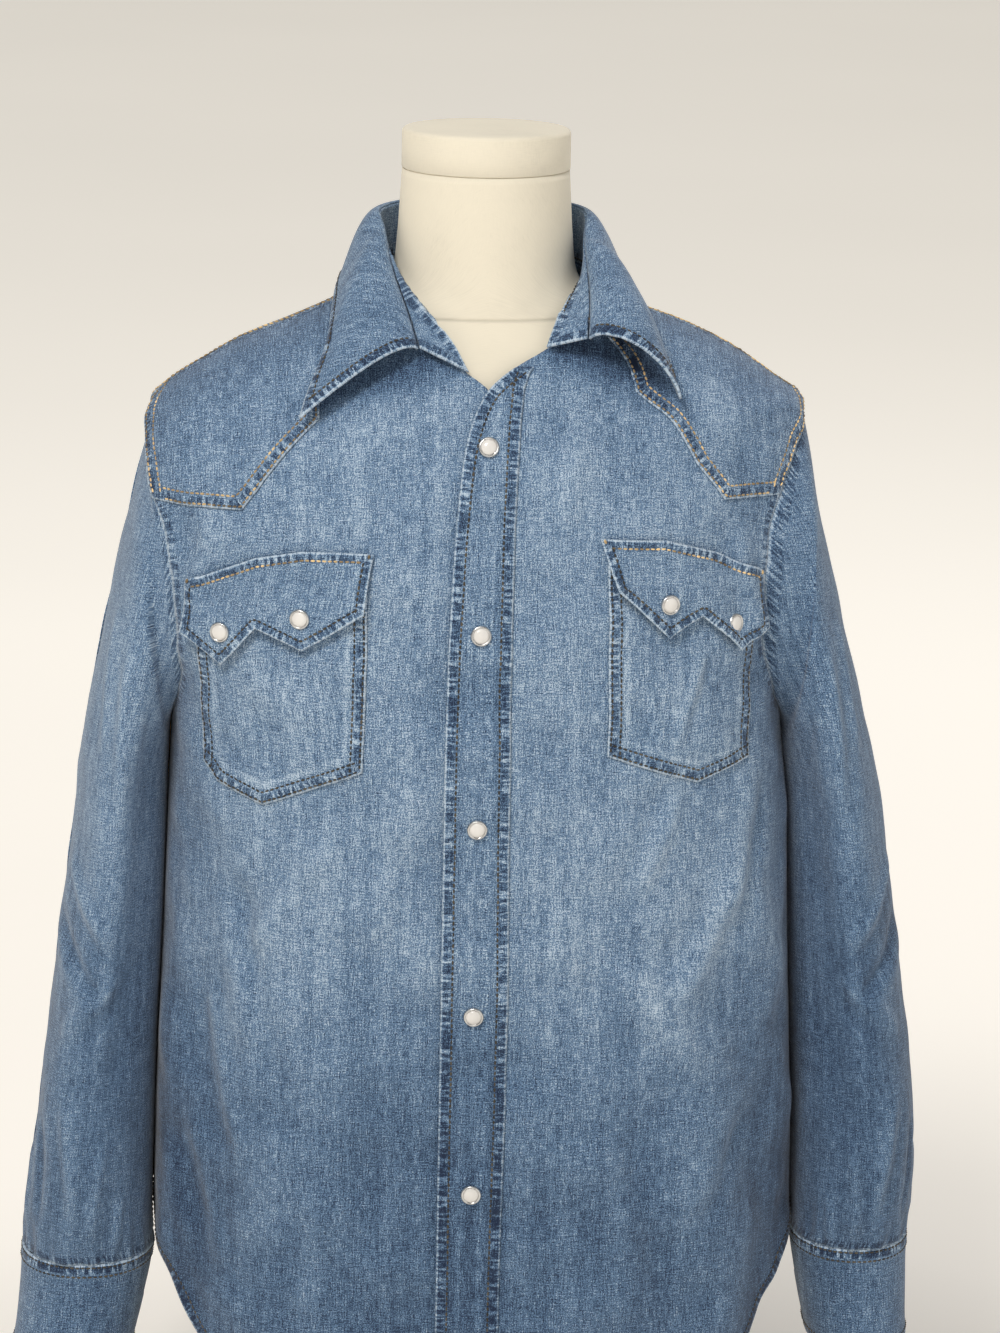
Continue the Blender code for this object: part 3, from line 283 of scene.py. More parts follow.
def frontEnds(sign):
    column = 2 if sign > 0 else 1
    edge = body["band"] if sign > 0 else body["underEdge"]
    neckline = body["neckline"][:, [column, 0]]

    def ends(height):
        start = turnOfAside(curveAt(edge, 1, height), height) if height <= edge[-1, 0] \
            else sign * curveAt(neckline, 1, height)
        return float(start), float(sign * sideTurn(height, 3))
    return ends, (sign * float(curveAt(neckline, 1, 0.829)), sign * 90.0)


def edgeField(points, lines, stretch=4096):
    # distance of every point to the nearest finished edge, and how far along that edge it is
    flat = points.reshape(-1, 3)
    best, along = np.full(len(flat), 9.0), np.zeros(len(flat))
    for number, line in enumerate(lines):
        start, run = line[:-1], np.diff(line, axis=0)
        size = np.maximum((run ** 2).sum(1), 1e-14)
        before = np.concatenate(([0], np.cumsum(np.sqrt(size))))[:-1]
        for first in range(0, len(flat), stretch):
            gap = flat[first:first + stretch, None] - start
            share = np.clip((gap * run).sum(-1) / size, 0, 1)
            far = np.linalg.norm(gap - share[..., None] * run, axis=-1)
            nearest = far.argmin(1)
            rows = np.arange(len(far))
            closer = far[rows, nearest] < best[first:first + stretch]
            place = before[nearest] + share[rows, nearest] * np.sqrt(size[nearest]) + number * 1.37
            best[first:first + stretch] = np.where(closer, far[rows, nearest], best[first:first + stretch])
            along[first:first + stretch] = np.where(closer, place, along[first:first + stretch])
    return best.reshape(points.shape[:2]), along.reshape(points.shape[:2])


def clothGrain(points, turn, height):
    # straight grain of the body pieces: round the body below the chest, level across the shoulders
    turn = (turn + 180.0) % 360.0 - 180.0
    away = abs(turn)
    level = np.clip((height - grainTable["low"]) / grainTable["step"], 0, len(grainTable["arcs"]) - 1.001)
    i, j = level.astype(int), np.minimum(away.astype(int), 179)
    f, g = level - i, away - j
    arcs = grainTable["arcs"]
    near = arcs[i, j] * (1 - f) + arcs[i + 1, j] * f
    beyond = arcs[i, j + 1] * (1 - f) + arcs[i + 1, j + 1] * f
    arc = near * (1 - g) + beyond * g
    whole = arcs[i, 180] * (1 - f) + arcs[i + 1, 180] * f
    rear = away > 90
    across = np.sign(turn) * np.where(rear, whole - arc, arc)
    shoulder = ease((height - 0.60) / 0.10)
    reach = np.where(rear, 0.12 - points[..., 1], points[..., 1] + 0.125)
    u = across * (1 - shoulder) + points[..., 0] * 1.04 * shoulder + np.where(rear, 2.0, 0.0)
    return u, height + shoulder * 0.47 * reach


def grainArcs():
    low, step = 0.095, 0.02
    heights = np.arange(low, 0.836, step)
    turns = np.linspace(0.0, 180.0, 181)
    point = bodyShape(*np.meshgrid(turns, heights))[0]
    run = np.cumsum(np.linalg.norm(np.diff(point, axis=1), axis=2), axis=1)
    return {"low": low, "step": step, "arcs": np.concatenate((np.zeros((len(heights), 1)), run), axis=1)}


grainTable = grainArcs()


def nearSide(points, side, depth):
    # edgeField worked out only for the rows or columns next to one side
    far, run = np.ones(points.shape[:2]), np.zeros(points.shape[:2])
    parts = {"bottom": np.s_[:depth], "top": np.s_[-depth:], "left": np.s_[:, :depth], "right": np.s_[:, -depth:]}
    part = parts[side]
    line = borders(points, [side])[0][::2]
    far[part], run[part] = edgeField(points[part], [line])
    return far, run


def borders(points, sides):
    lines = {"bottom": points[0], "top": points[-1], "left": points[:, 0], "right": points[:, -1]}
    return [lines[side] for side in sides]


def insetLine(points, normals, side, inset, trim=0.0, lift=cloth["threadLift"]):
    # line on a piece that keeps one distance from one of its sides
    line = borders(points, [side])[0]
    p, n = points, normals
    if side in ("left", "right"):
        p, n = p.transpose(1, 0, 2), n.transpose(1, 0, 2)
    if side in ("top", "right"):
        p, n = p[::-1], n[::-1]
    near = min(len(p), 40)
    p, n = p[:near], n[:near]
    far = edgeField(p, [line])[0]
    path, facing = [], []
    for c in range(p.shape[1]):
        past = np.nonzero(far[:, c] >= inset)[0]
        if len(past) == 0 or past[0] == 0:
            continue
        r = past[0]
        share = (inset - far[r - 1, c]) / max(far[r, c] - far[r - 1, c], 1e-9)
        path.append(p[r - 1, c] * (1 - share) + p[r, c] * share)
        facing.append(n[r - 1, c] * (1 - share) + n[r, c] * share)
    path, facing = np.array(path), unit(np.array(facing))
    run = np.concatenate(([0], np.cumsum(np.linalg.norm(np.diff(path, axis=0), axis=1))))
    keep = (run >= trim) & (run <= run[-1] - trim)
    return path[keep] + facing[keep] * lift, facing[keep]


# Washed denim and the thread, pearl, metal and linen of the rest.
looks = {
    "washes": ((0.0, (26, 41, 67)), (0.22, (60, 83, 111)), (0.47, (87, 114, 145)), (0.72, (112, 140, 169)),
               (1.0, (184, 200, 215))),
    "slubWidth": 1250.0, "slubLength": 105.0, "slubStrength": 0.66, "saltStrength": 0.85, "speckStrength": 0.34,
    "twillPitch": 0.0011, "bump": 0.5, "roughness": 0.88, "sheen": 0.18,
    "edgePale": 0.60, "edgeDark": 0.40, "bandWidth": 0.0068, "blotchLength": 0.0027,
    "gold": (178, 152, 108), "olive": (58, 52, 40), "linen": (229, 221, 202), "pearl": (226, 223, 219),
    "rim": (206, 206, 205), "steel": (158, 156, 152),
}


def linear(colour):
    return tuple(((c / 255 + 0.055) / 1.055) ** 2.4 if c > 10 else c / 255 / 12.92 for c in colour) + (1.0,)


def addNode(tree, kind, inputs=None, **settings):
    node = tree.nodes.new(kind)
    for key, value in settings.items():
        setattr(node, key, value)
    for key, value in (inputs or {}).items():
        if isinstance(value, bpy.types.NodeSocket):
            tree.links.new(value, node.inputs[key])
        else:
            node.inputs[key].default_value = value
    return node


def sums(tree, kind, a, b, clamp=False):
    return addNode(tree, "ShaderNodeMath", {0: a, 1: b}, operation=kind, use_clamp=clamp).outputs[0]


def ranged(tree, value, low, high, first=0.0, last=1.0, smooth=True):
    return addNode(tree, "ShaderNodeMapRange", {"Value": value, "From Min": low, "From Max": high,
                                                "To Min": first, "To Max": last},
                   interpolation_type="SMOOTHSTEP" if smooth else "LINEAR").outputs["Result"]


def noiseOf(tree, vector, scale, detail=2.0, rough=0.55, stretch=(1.0, 1.0, 1.0), place=(0.0, 0.0, 0.0)):
    spread = addNode(tree, "ShaderNodeMapping", {"Vector": vector, "Scale": stretch, "Location": place})
    return addNode(tree, "ShaderNodeTexNoise", {"Vector": spread.outputs[0], "Scale": scale, "Detail": detail,
                                                "Roughness": rough}).outputs["Fac"]


def newMaterial(name, roughness, metallic=0.0, sheen=0.0, coat=0.0):
    material = bpy.data.materials.new(name)
    material.use_nodes = True
    shader = material.node_tree.nodes["Principled BSDF"]
    shader.inputs["Roughness"].default_value = roughness
    shader.inputs["Metallic"].default_value = metallic
    shader.inputs["Sheen Weight"].default_value = sheen
    shader.inputs["Coat Weight"].default_value = coat
    return material, material.node_tree, shader


def rampOf(tree, value, stops):
    ramp = addNode(tree, "ShaderNodeValToRGB", {"Fac": value})
    points = ramp.color_ramp.elements
    while len(points) < len(stops):
        points.new(0.5)
    for point, (place, colour) in zip(points, stops):
        point.position = place
        point.color = linear(colour)
    return ramp.outputs["Color"]


def denimMaterial(name, inside=False):
    material, tree, shader = newMaterial(name, looks["roughness"], sheen=looks["sheen"])
    shader.inputs["Specular IOR Level"].default_value = 0.25
    uv = addNode(tree, "ShaderNodeUVMap", uv_map="cloth").outputs[0]
    place = addNode(tree, "ShaderNodeTexCoord").outputs["Object"]
    fields = {key: addNode(tree, "ShaderNodeAttribute", attribute_name=key).outputs["Fac"]
              for key in ("wash", "edgeFar", "edgeRun", "edgeBand")}
    thick, thin = looks["slubWidth"], looks["slubLength"]
    warp = noiseOf(tree, uv, 1.0, 3.0, 0.6, (thick, thin, 1.0))
    weft = noiseOf(tree, uv, 1.0, 3.0, 0.6, (thin, thick, 1.0), (3.7, 8.1, 0.0))
    fine = noiseOf(tree, uv, 1.0, 1.0, 0.6, (1500.0, 1150.0, 1.0), (5.0, 2.0, 0.0))
    cross = sums(tree, "ADD", sums(tree, "MULTIPLY", warp, 0.58), sums(tree, "MULTIPLY", weft, 0.42))
    grain = ranged(tree, cross, 0.36, 0.64, -0.5, 0.5, False)
    grain2 = ranged(tree, fine, 0.3, 0.7, -0.5, 0.5, False)
    speck = ranged(tree, noiseOf(tree, uv, 1500.0, 1.0), 0.62, 0.80)
    cloud = ranged(tree, noiseOf(tree, place, 7.0, 4.0, 0.6), 0.3, 0.7, -0.5, 0.5, False)
    patch = ranged(tree, noiseOf(tree, place, 34.0, 3.0, 0.6), 0.3, 0.7, -0.5, 0.5, False)
    streak = ranged(tree, noiseOf(tree, uv, 1.0, 2.0, 0.5, (160.0, 6.0, 1.0), (1.0, 4.0, 0.0)),
                    0.3, 0.7, -0.5, 0.5, False)
    value = sums(tree, "ADD", fields["wash"], sums(tree, "MULTIPLY", grain, looks["slubStrength"]))
    for extra, share in ((grain2, looks["saltStrength"]), (cloud, 0.09), (patch, 0.09), (streak, 0.17),
                         (speck, looks["speckStrength"])):
        value = sums(tree, "ADD", value, sums(tree, "MULTIPLY", extra, share))
    # worn edge: a pale line on the fold, then dark and pale blotches up to the stitching
    runs = addNode(tree, "ShaderNodeCombineXYZ", {"X": fields["edgeRun"], "Y": fields["edgeFar"]}).outputs[0]
    blotch = noiseOf(tree, runs, 1.0, 2.0, 0.6, (1 / looks["blotchLength"], 70.0, 1.0))
    dark = ranged(tree, blotch, 0.56, 0.44)
    pale = ranged(tree, blotch, 0.50, 0.66)
    band = sums(tree, "MULTIPLY", ranged(tree, fields["edgeFar"], looks["bandWidth"], looks["bandWidth"] * 0.72),
                fields["edgeBand"])
    lip = sums(tree, "MULTIPLY", ranged(tree, fields["edgeFar"], 0.0016, 0.0006), fields["edgeBand"])
    blotches = sums(tree, "MULTIPLY", dark, band)
    value = sums(tree, "SUBTRACT", value, sums(tree, "MULTIPLY", blotches, looks["edgeDark"]))
    value = sums(tree, "ADD", value, sums(tree, "MULTIPLY", sums(tree, "MULTIPLY", pale, band), 0.24))
    value = sums(tree, "ADD", value, sums(tree, "MULTIPLY", lip, looks["edgePale"]), True)
    if inside:
        value = sums(tree, "ADD", sums(tree, "MULTIPLY", value, 0.55), 0.38, True)
    tree.links.new(rampOf(tree, value, looks["washes"]), shader.inputs["Base Color"])
    twill = addNode(tree, "ShaderNodeMapping", {"Vector": uv, "Rotation": (0.0, 0.0, math.radians(27.0))})
    ribs = addNode(tree, "ShaderNodeTexWave", {"Vector": twill.outputs[0], "Scale": 0.314 / looks["twillPitch"] / 2,
                                               "Distortion": 1.2, "Detail": 1.0, "Detail Scale": 2.0})
    height = sums(tree, "ADD", sums(tree, "MULTIPLY", ribs.outputs["Fac"], 0.35), cross)
    bump = addNode(tree, "ShaderNodeBump", {"Height": height, "Strength": looks["bump"], "Distance": 0.0006})
    tree.links.new(bump.outputs[0], shader.inputs["Normal"])
    return material


def threadMaterial(name, colour):
    material, tree, shader = newMaterial(name, 0.6, sheen=0.1)
    place = addNode(tree, "ShaderNodeTexCoord").outputs["Object"]
    tone = ranged(tree, noiseOf(tree, place, 60.0, 3.0), 0.3, 0.7)
    darker = tuple(c * 0.55 for c in colour)
    lighter = tuple(min(c * 1.35 + 12, 255) for c in colour)
    tree.links.new(rampOf(tree, tone, ((0.0, darker), (0.5, colour), (1.0, lighter))), shader.inputs["Base Color"])
    twist = noiseOf(tree, place, 2600.0, 1.0)
    tree.links.new(addNode(tree, "ShaderNodeBump", {"Height": twist, "Strength": 0.4, "Distance": 0.0002}).outputs[0],
                   shader.inputs["Normal"])
    return material


def linenMaterial(name):
    material, tree, shader = newMaterial(name, 0.85, sheen=0.12)
    shader.inputs["Specular IOR Level"].default_value = 0.25
    uv = addNode(tree, "ShaderNodeUVMap", uv_map="cloth").outputs[0]
    place = addNode(tree, "ShaderNodeTexCoord").outputs["Object"]
    warp = noiseOf(tree, uv, 1.0, 2.0, 0.5, (1500.0, 180.0, 1.0))
    weft = noiseOf(tree, uv, 1.0, 2.0, 0.5, (180.0, 1500.0, 1.0), (4.0, 1.0, 0.0))
    cloud = noiseOf(tree, place, 12.0, 4.0)
    weave = sums(tree, "ADD", sums(tree, "MULTIPLY", warp, 0.35), sums(tree, "MULTIPLY", weft, 0.35))
    value = ranged(tree, sums(tree, "ADD", sums(tree, "MULTIPLY", weave, 0.4), sums(tree, "MULTIPLY", cloud, 0.5)),
                   0.1, 0.7)
    seam = addNode(tree, "ShaderNodeAttribute", attribute_name="wash").outputs["Fac"]
    value = sums(tree, "SUBTRACT", value, sums(tree, "MULTIPLY", seam, 0.5), True)
    base = looks["linen"]
    stops = ((0.0, tuple(c * 0.90 for c in base)), (0.4, tuple(c * 0.985 for c in base)), (0.6, base),
             (1.0, tuple(min(c * 1.02, 255) for c in base)))
    tree.links.new(rampOf(tree, value, stops), shader.inputs["Base Color"])
    bump = addNode(tree, "ShaderNodeBump", {"Height": weave, "Strength": 0.12, "Distance": 0.0003})
    tree.links.new(bump.outputs[0], shader.inputs["Normal"])
    return material


def hardMaterial(name, colour, roughness, metallic, coat=0.0, scale=300.0, spread=0.05):
    material, tree, shader = newMaterial(name, roughness, metallic, coat=coat)
    place = addNode(tree, "ShaderNodeTexCoord").outputs["Object"]
    tone = noiseOf(tree, place, scale, 3.0, 0.5, (1.0, 1.0, 0.25))
    stops = ((0.3, tuple(c * (1 - spread * 2) for c in colour)),
             (0.7, tuple(min(c * (1 + spread), 255) for c in colour)))
    tree.links.new(rampOf(tree, tone, stops), shader.inputs["Base Color"])
    rough = ranged(tree, tone, 0.3, 0.7, roughness * 0.8, roughness * 1.25)
    tree.links.new(rough, shader.inputs["Roughness"])
    return material


denim = denimMaterial("washedDenim")
denimInside = denimMaterial("denimInside", True)
goldThread = threadMaterial("goldThread", looks["gold"])
oliveThread = threadMaterial("oliveThread", looks["olive"])
linen = linenMaterial("creamLinen")
pearl = hardMaterial("pearlCap", looks["pearl"], 0.22, 0.0, 0.5, 90.0, 0.03)
rimMetal = hardMaterial("snapRim", looks["rim"], 0.28, 1.0)
steel = hardMaterial("brushedSteel", looks["steel"], 0.34, 1.0, scale=220.0, spread=0.06)
print("stage: materials")


def clothPiece(name, points, normals, fields, materials, closed=False, grain=None):
    # a grid mapped onto rows of points, with the piece's own UV in metres and its fields as attributes
    along, up = np.diff(points, axis=1)[:-1], np.diff(points, axis=0)[:, :-1]
    if (np.cross(along, up) * normals[:-1, :-1]).sum() < 0:
        points = points[:, ::-1]
        fields = {key: value[:, ::-1] for key, value in fields.items()}
        grain = grain and tuple(value[:, ::-1] for value in grain)
    rows, columns = points.shape[:2]
    across = np.linalg.norm(np.diff(points, axis=1), axis=2)
    upward = np.linalg.norm(np.diff(points, axis=0), axis=2)
    u = np.concatenate((np.zeros((rows, 1)), np.cumsum(across, axis=1)), axis=1)
    v = np.concatenate((np.zeros((1, columns)), np.cumsum(upward, axis=0)), axis=0)
    u, v = grain or (u - u.mean(axis=1, keepdims=True), v)
    bm = bmesh.new()
    bmesh.ops.create_grid(bm, x_segments=columns - 1, y_segments=rows - 1, size=0.5)
    mesh = bpy.data.meshes.new(name)
    bm.to_mesh(mesh)
    bm.free()
    count = len(mesh.vertices)
    places = np.empty(count * 3)
    mesh.vertices.foreach_get("co", places)
    places = places.reshape(-1, 3)
    column = np.rint((places[:, 0] + 0.5) * (columns - 1)).astype(int)
    row = np.rint((places[:, 1] + 0.5) * (rows - 1)).astype(int)
    mesh.vertices.foreach_set("co", points[row, column].ravel())
    for key, value in fields.items():
        mesh.attributes.new(key, "FLOAT", "POINT").data.foreach_set("value", value[row, column].ravel())
    corners = np.empty(len(mesh.loops), dtype=np.int32)
    mesh.loops.foreach_get("vertex_index", corners)
    layer = mesh.uv_layers.new(name="cloth")
    flat = np.stack((u[row, column], v[row, column]), -1)[corners]
    layer.data.foreach_set("uv", flat.ravel())
    if closed:
        bm = bmesh.new()
        bm.from_mesh(mesh)
        bmesh.ops.remove_doubles(bm, verts=bm.verts, dist=1e-6)
        bm.to_mesh(mesh)
        bm.free()
    mesh.update()
    mesh.shade_smooth()
    piece = bpy.data.objects.new(name, mesh)
    bpy.context.scene.collection.objects.link(piece)
    for material in materials:
        mesh.materials.append(material)
    return piece


def giveWall(piece, thickness, offset=-1.0, lining=True):
    wall = piece.modifiers.new("wall", "SOLIDIFY")
    wall.thickness = thickness
    wall.offset = offset
    wall.use_rim = True
    if lining:
        wall.material_offset = 1
    return piece


def settle(piece, nodes):
    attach(piece, "root")
    if nodes:
        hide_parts(*nodes)


# How pale the wash is over the body, by height and by turn.
fade = {
    "height": np.array([(0.10, 0.35), (0.24, 0.35), (0.33, 0.40), (0.385, 0.50), (0.43, 0.60), (0.50, 0.63),
                        (0.58, 0.62), (0.66, 0.62), (0.72, 0.62), (0.80, 0.57), (0.84, 0.50)]),
    "sides": 0.14, "yoke": -0.03, "band": -0.10, "pocket": -0.01,
    # height, wash
    "sleeve": np.array([(0.13, 0.31), (0.22, 0.32), (0.30, 0.30), (0.40, 0.35), (0.50, 0.45), (0.62, 0.50),
                        (0.74, 0.50)]),
    "cuff": 0.38,
}


def bodyWashAndShade(turn, height, pale):
    turn = (turn + 90.0) % 360.0 - 90.0
    shift = 0.012 * np.sin(turn * 0.09) + 0.010 * np.sin(turn * 0.21 + 1.0)
    value = curveAt(fade["height"], 1, height + shift)
    face = abs((turn + 180) % 360 - 180)
    sides = ease((face - 38) / 40) * ease((142 - face) / 40)
    back = ease((face - 90) / 30) * 0.05
    # pale brings in the worn pale creases and the painted light and shade made in bodyRelief
    return value - fade["sides"] * sides - back + pale


def puckers(run, far, size, reach):
    # cloth drawn up by the stitching between a folded edge and its row
    wave = np.sin(run / 0.0011 + 2.2 * np.sin(run / 0.013)) * 0.6 + np.sin(run / 0.0021 + 1.3) * 0.4
    return size * wave * ease(far / 0.0015) * ease((reach - far) / (0.35 * reach))


def edgeProfile(far, height, rows, rounding=0.0013, groove=0.00035, seam=0.0085):
    # rounded fold at the edge, thicker over the turned-in cloth, sunk along each stitch row
    rise = height * (0.45 + 0.55 * ease(far / rounding)) + 0.0003 * ease((seam - far) / 0.0016)
    for inset in rows:
        rise = rise - groove * np.exp(-((far - inset) / 0.0008) ** 2)
    return rise


def layOn(turn, height, sides, start, high, rows, puckerSize=0.00036, reach=0.0075, extraWash=0.0):
    # piece laid on the shirt body: outer face with its edge profile, and its fields
    base, normal = bodySurface(turn, height)
    far, run = edgeField(base, borders(base, sides))
    rise = start + edgeProfile(far, high, rows) + puckers(run, far, puckerSize, reach)
    points = base + normal * rise[..., None]
    pale = bodyRelief(turn, height)[1]
    fields = {"wash": bodyWashAndShade(turn, height, pale) + extraWash, "edgeFar": far, "edgeRun": run,
              "edgeBand": np.ones_like(far)}
    return points, normal, fields


stitchRuns = {"gold": [], "olive": []}


def sew(kind, path, facing, size=1.0):
    if len(path) > 3:
        stitchRuns[kind].append((path, facing, size))


# Fronts and back.
def makeFront(sign, name, node):
    ends, topEnds = frontEnds(sign)
    columns = int(0.30 / body["gridStep"])
    turns, heights = panelGrid(ends, topEnds, columns)
    points, normals = bodySurface(turns, heights)
    if sign < 0:
        lap = np.minimum(curveAt(body["band"], 1, heights), curveAt(body["underEdge"], 1, heights) - 0.010)
        depth = ease((points[..., 0] - lap + body["tuckRun"]) / body["tuckRun"])
        depth = depth * (1 - 0.6 * ease((heights - 0.776) / 0.007)) * ease((0.80 - heights) / 0.014)
        points = points - normals * (body["underTuck"] * depth)[..., None]
    grain = clothGrain(points, turns, heights)
    far, run = nearSide(points, "bottom", 10)
    sideFull, sideRun = nearSide(points, "right", 10)
    band = ease((0.02 - far) / 0.01)
    hemRise = 0.0004 * ease((0.0095 - far) / 0.0015) + puckers(run, far, 0.00025, 0.009)
    hemRise = hemRise + 0.0004 * ease((0.009 - sideFull) / 0.0015)
    points = points + normals * (hemRise - 0.00002)[..., None]
    useSide = sideFull < far
    pale = bodyRelief(turns, heights)[1]
    fields = {"wash": bodyWashAndShade(turns, heights, pale), "edgeFar": np.minimum(far, sideFull),
              "edgeRun": np.where(useSide, sideRun + 3.1, run), "edgeBand": np.maximum(band, useSide * 0.8)}
    piece = giveWall(clothPiece(name, points, normals, fields, [denim, denimInside], grain=grain), body["wall"])
    settle(piece, [node])
    sew("olive", *insetLine(points, normals, "bottom", cloth["hemRow"], 0.004))


makeFront(1, "frontLeft", "front_left")
makeFront(-1, "frontRight", "front_right")


def makeBack():
    def ends(height):
        reach = float(sideTurn(height, 4))
        return 180.0 - reach, 180.0 + reach
    columns = int(0.52 / body["gridStep"])
    turns, heights = panelGrid(ends, (90.0, 270.0), columns)
    points, normals = bodySurface(turns, heights)
    grain = clothGrain(points, turns, heights)
    far, run = nearSide(points, "bottom", 10)
    side, sideRun = nearSide(points, "left", 10)
    other, otherRun = nearSide(points, "right", 10)
    side, sideRun = np.minimum(side, other), np.where(other < side, otherRun + 1.1, sideRun)
    rise = 0.0004 * ease((0.0095 - far) / 0.0015) + puckers(run, far, 0.00025, 0.009)
    rise = rise + 0.0005 * ease((0.0095 - side) / 0.0015) + puckers(sideRun, side, 0.00018, 0.008)
    points = points + normals * rise[..., None]
    pale = bodyRelief(turns, heights)[1]
    fields = {"wash": bodyWashAndShade(turns, heights, pale), "edgeFar": np.minimum(far, side),
              "edgeRun": np.where(side < far, sideRun + 3.1, run),
              "edgeBand": ease((0.02 - np.minimum(far, side)) / 0.01)}
    piece = clothPiece("backPanel", points, normals, fields, [denim, denimInside], grain=grain)
    giveWall(piece, body["wall"])
    settle(piece, ["back"])
    sew("olive", *insetLine(points, normals, "bottom", cloth["hemRow"], 0.004))
    for side in ("left", "right"):
        for inset in cloth["armRows"]:
            sew("gold", *insetLine(points, normals, side, inset, 0.012))


makeBack()
print("stage: fronts and back")

# Overlays: corners as X and Z, each side from left to right or from the bottom up.
pieces = {
    "placket": {"flat": (0.042, 0.67), "rows": (0.0068,), "step": 0.0018, "high": 0.0014},
    "yokeFrontRight": {
        "edge": ((-0.0602, 0.7930), (-0.1002, 0.7558), (-0.1363, 0.7149), (-0.1450, 0.7035), (-0.1762, 0.7025),
                 (-0.2060, 0.7032)),
        "neckTurn": 46.0, "flat": (0.20, 0.16)},
    "yokeFrontLeft": {
        "edge": ((0.0620, 0.7980), (0.0870, 0.7718), (0.1235, 0.7302), (0.1401, 0.7092), (0.1767, 0.7068),
                 (0.1860, 0.7072)),
        "neckTurn": 41.0, "flat": (0.20, 0.16)},
    "yokeBack": {
        "edge": ((-0.2060, 0.7040), (-0.1500, 0.7020), (-0.1250, 0.6900), (0.0000, 0.7240), (0.1250, 0.6900),
                 (0.1500, 0.7020), (0.1860, 0.7040)),
        "flat": (0.46, 0.19)},
    "pocketRight": {
        "bottom": ((-0.1680, 0.5450), (-0.1597, 0.5355), (-0.1324, 0.5270), (-0.0740, 0.5520)),
        "left": ((-0.1680, 0.5450), (-0.1700, 0.6000), (-0.1730, 0.6500)),
        "right": ((-0.0740, 0.5520), (-0.0722, 0.6200), (-0.0720, 0.6740)),
        "top": ((-0.1730, 0.6500), (-0.1200, 0.6700), (-0.0720, 0.6740)), "flat": (0.125, 0.16)},
    "pocketLeft": {
        "bottom": ((0.0711, 0.5615), (0.1270, 0.5410), (0.1590, 0.5510)),
        "left": ((0.0711, 0.5615), (0.0702, 0.6200), (0.0692, 0.6820)),
        "right": ((0.1590, 0.5510), (0.1605, 0.6000), (0.1600, 0.6560)),
        "top": ((0.0692, 0.6820), (0.1200, 0.6760), (0.1600, 0.6560)), "flat": (0.115, 0.16)},
    "flapRight": {
        "bottom": ((-0.1762, 0.6290), (-0.1552, 0.6111), (-0.1361, 0.6355), (-0.1091, 0.6235), (-0.0735, 0.6480)),
        "left": ((-0.1762, 0.6290), (-0.1767, 0.6595)), "right": ((-0.0735, 0.6480), (-0.0681, 0.6820)),
        "top": ((-0.1767, 0.6595), (-0.1373, 0.6770), (-0.1094, 0.6825), (-0.0681, 0.6820)), "flat": (0.125, 0.075)},
    "flapLeft": {
        "bottom": ((0.0745, 0.6600), (0.1053, 0.6313), (0.1261, 0.6434), (0.1478, 0.6191), (0.1635, 0.6313)),
        "left": ((0.0745, 0.6600), (0.0645, 0.6915)), "right": ((0.1635, 0.6313), (0.1636, 0.6650)),
        "top": ((0.0645, 0.6915), (0.1024, 0.6898), (0.1341, 0.6800), (0.1636, 0.6650)), "flat": (0.12, 0.075)},
    "wall": 0.0006,
}


def lineAt(line, shares, weight=(1.0, 1.0)):
    line = np.array(line, dtype=float)
    run = np.linalg.norm(np.diff(line, axis=0) * np.array(weight), axis=1)
    run = np.concatenate(([0], np.cumsum(run))) / run.sum()
    return np.stack([np.interp(shares, run, line[:, i]) for i in range(2)], -1), run


def patch(bottom, top, left, right, rows, columns, weight=(1.0, 1.0)):
    # grid between four sides, with a column at each corner of the bottom side
    s, t = np.linspace(0, 1, columns), np.linspace(0, 1, rows)
    corners = lineAt(bottom, s, weight)[1][1:-1]
    if len(corners) < 9:
        for corner in corners:
            s[abs(s - corner).argmin()] = corner
    b, u = lineAt(bottom, s, weight)[0], lineAt(top, s, weight)[0]
    l, r = lineAt(left, t, weight)[0], lineAt(right, t, weight)[0]
    s, t = s[None, :, None], t[:, None, None]
    flat = (1 - t) * b[None] + t * u[None] + (1 - s) * l[:, None] + s * r[:, None]
    return flat - ((1 - s) * (1 - t) * b[0] + s * (1 - t) * b[-1] + (1 - s) * t * u[0] + s * t * u[-1])


def makeOverlay(name, node, turns, heights, sides, start, high, rows, extraWash=0.0, wall=None,
                reach=0.0075, lift=None, ghosts=()):
    points, normals, fields = layOn(turns, heights, sides, start, high, rows, reach=reach, extraWash=extraWash)
    if ghosts:
        across, up = points[..., 0], points[..., 2]
        streak = 0.05 * np.sin(across * 900 + 3 * np.sin(up * 55)) * np.sin(up * 130 + 1)
        fields["wash"] = fields["wash"] + (ghost(fields["edgeFar"], ghosts) + streak) * (fields["edgeFar"] > 0.008)
    if lift is not None:
        points = points + normals * lift[..., None]
    piece = giveWall(clothPiece(name, points, normals, fields, [denim, denimInside],
                                grain=clothGrain(points, turns, heights)), wall or pieces["wall"], lining=False)
    settle(piece, [node])
    return points, normals, fields


def ghost(far, places, width=0.0009):
    # pale lines where the turned-in cloth has worn through from behind
    return sum(0.16 * np.exp(-((far - place) / width) ** 2) for place in places)


def makePlacket():
    look = pieces["placket"]
    heights = np.arange(0.1315, 0.788, look["step"])
    shares = np.linspace(0, 1, 24)
    edge, inner = (curveAt(body["band"], column, heights)[:, None] for column in (1, 2))
    x = edge * (1 - shares) + inner * shares
    grid = heights[:, None] + 0 * x
    points, normals, _ = makeOverlay("placketTop", "placket_top", turnOfAside(x, grid), grid,
                                     ["left", "right", "bottom"], cloth["gap"], look["high"], look["rows"],
                                     fade["band"], ghosts=(0.0128,))
    for side in ("left", "right"):
        sew("olive", *insetLine(points, normals, side, look["rows"][0], 0.004))


makePlacket()


def asTurns(edge, back=False):
    x, z = np.array(edge).T
    turn = turnOfAside(x, z)
    return np.stack((180.0 - turn if back else turn, z), -1)


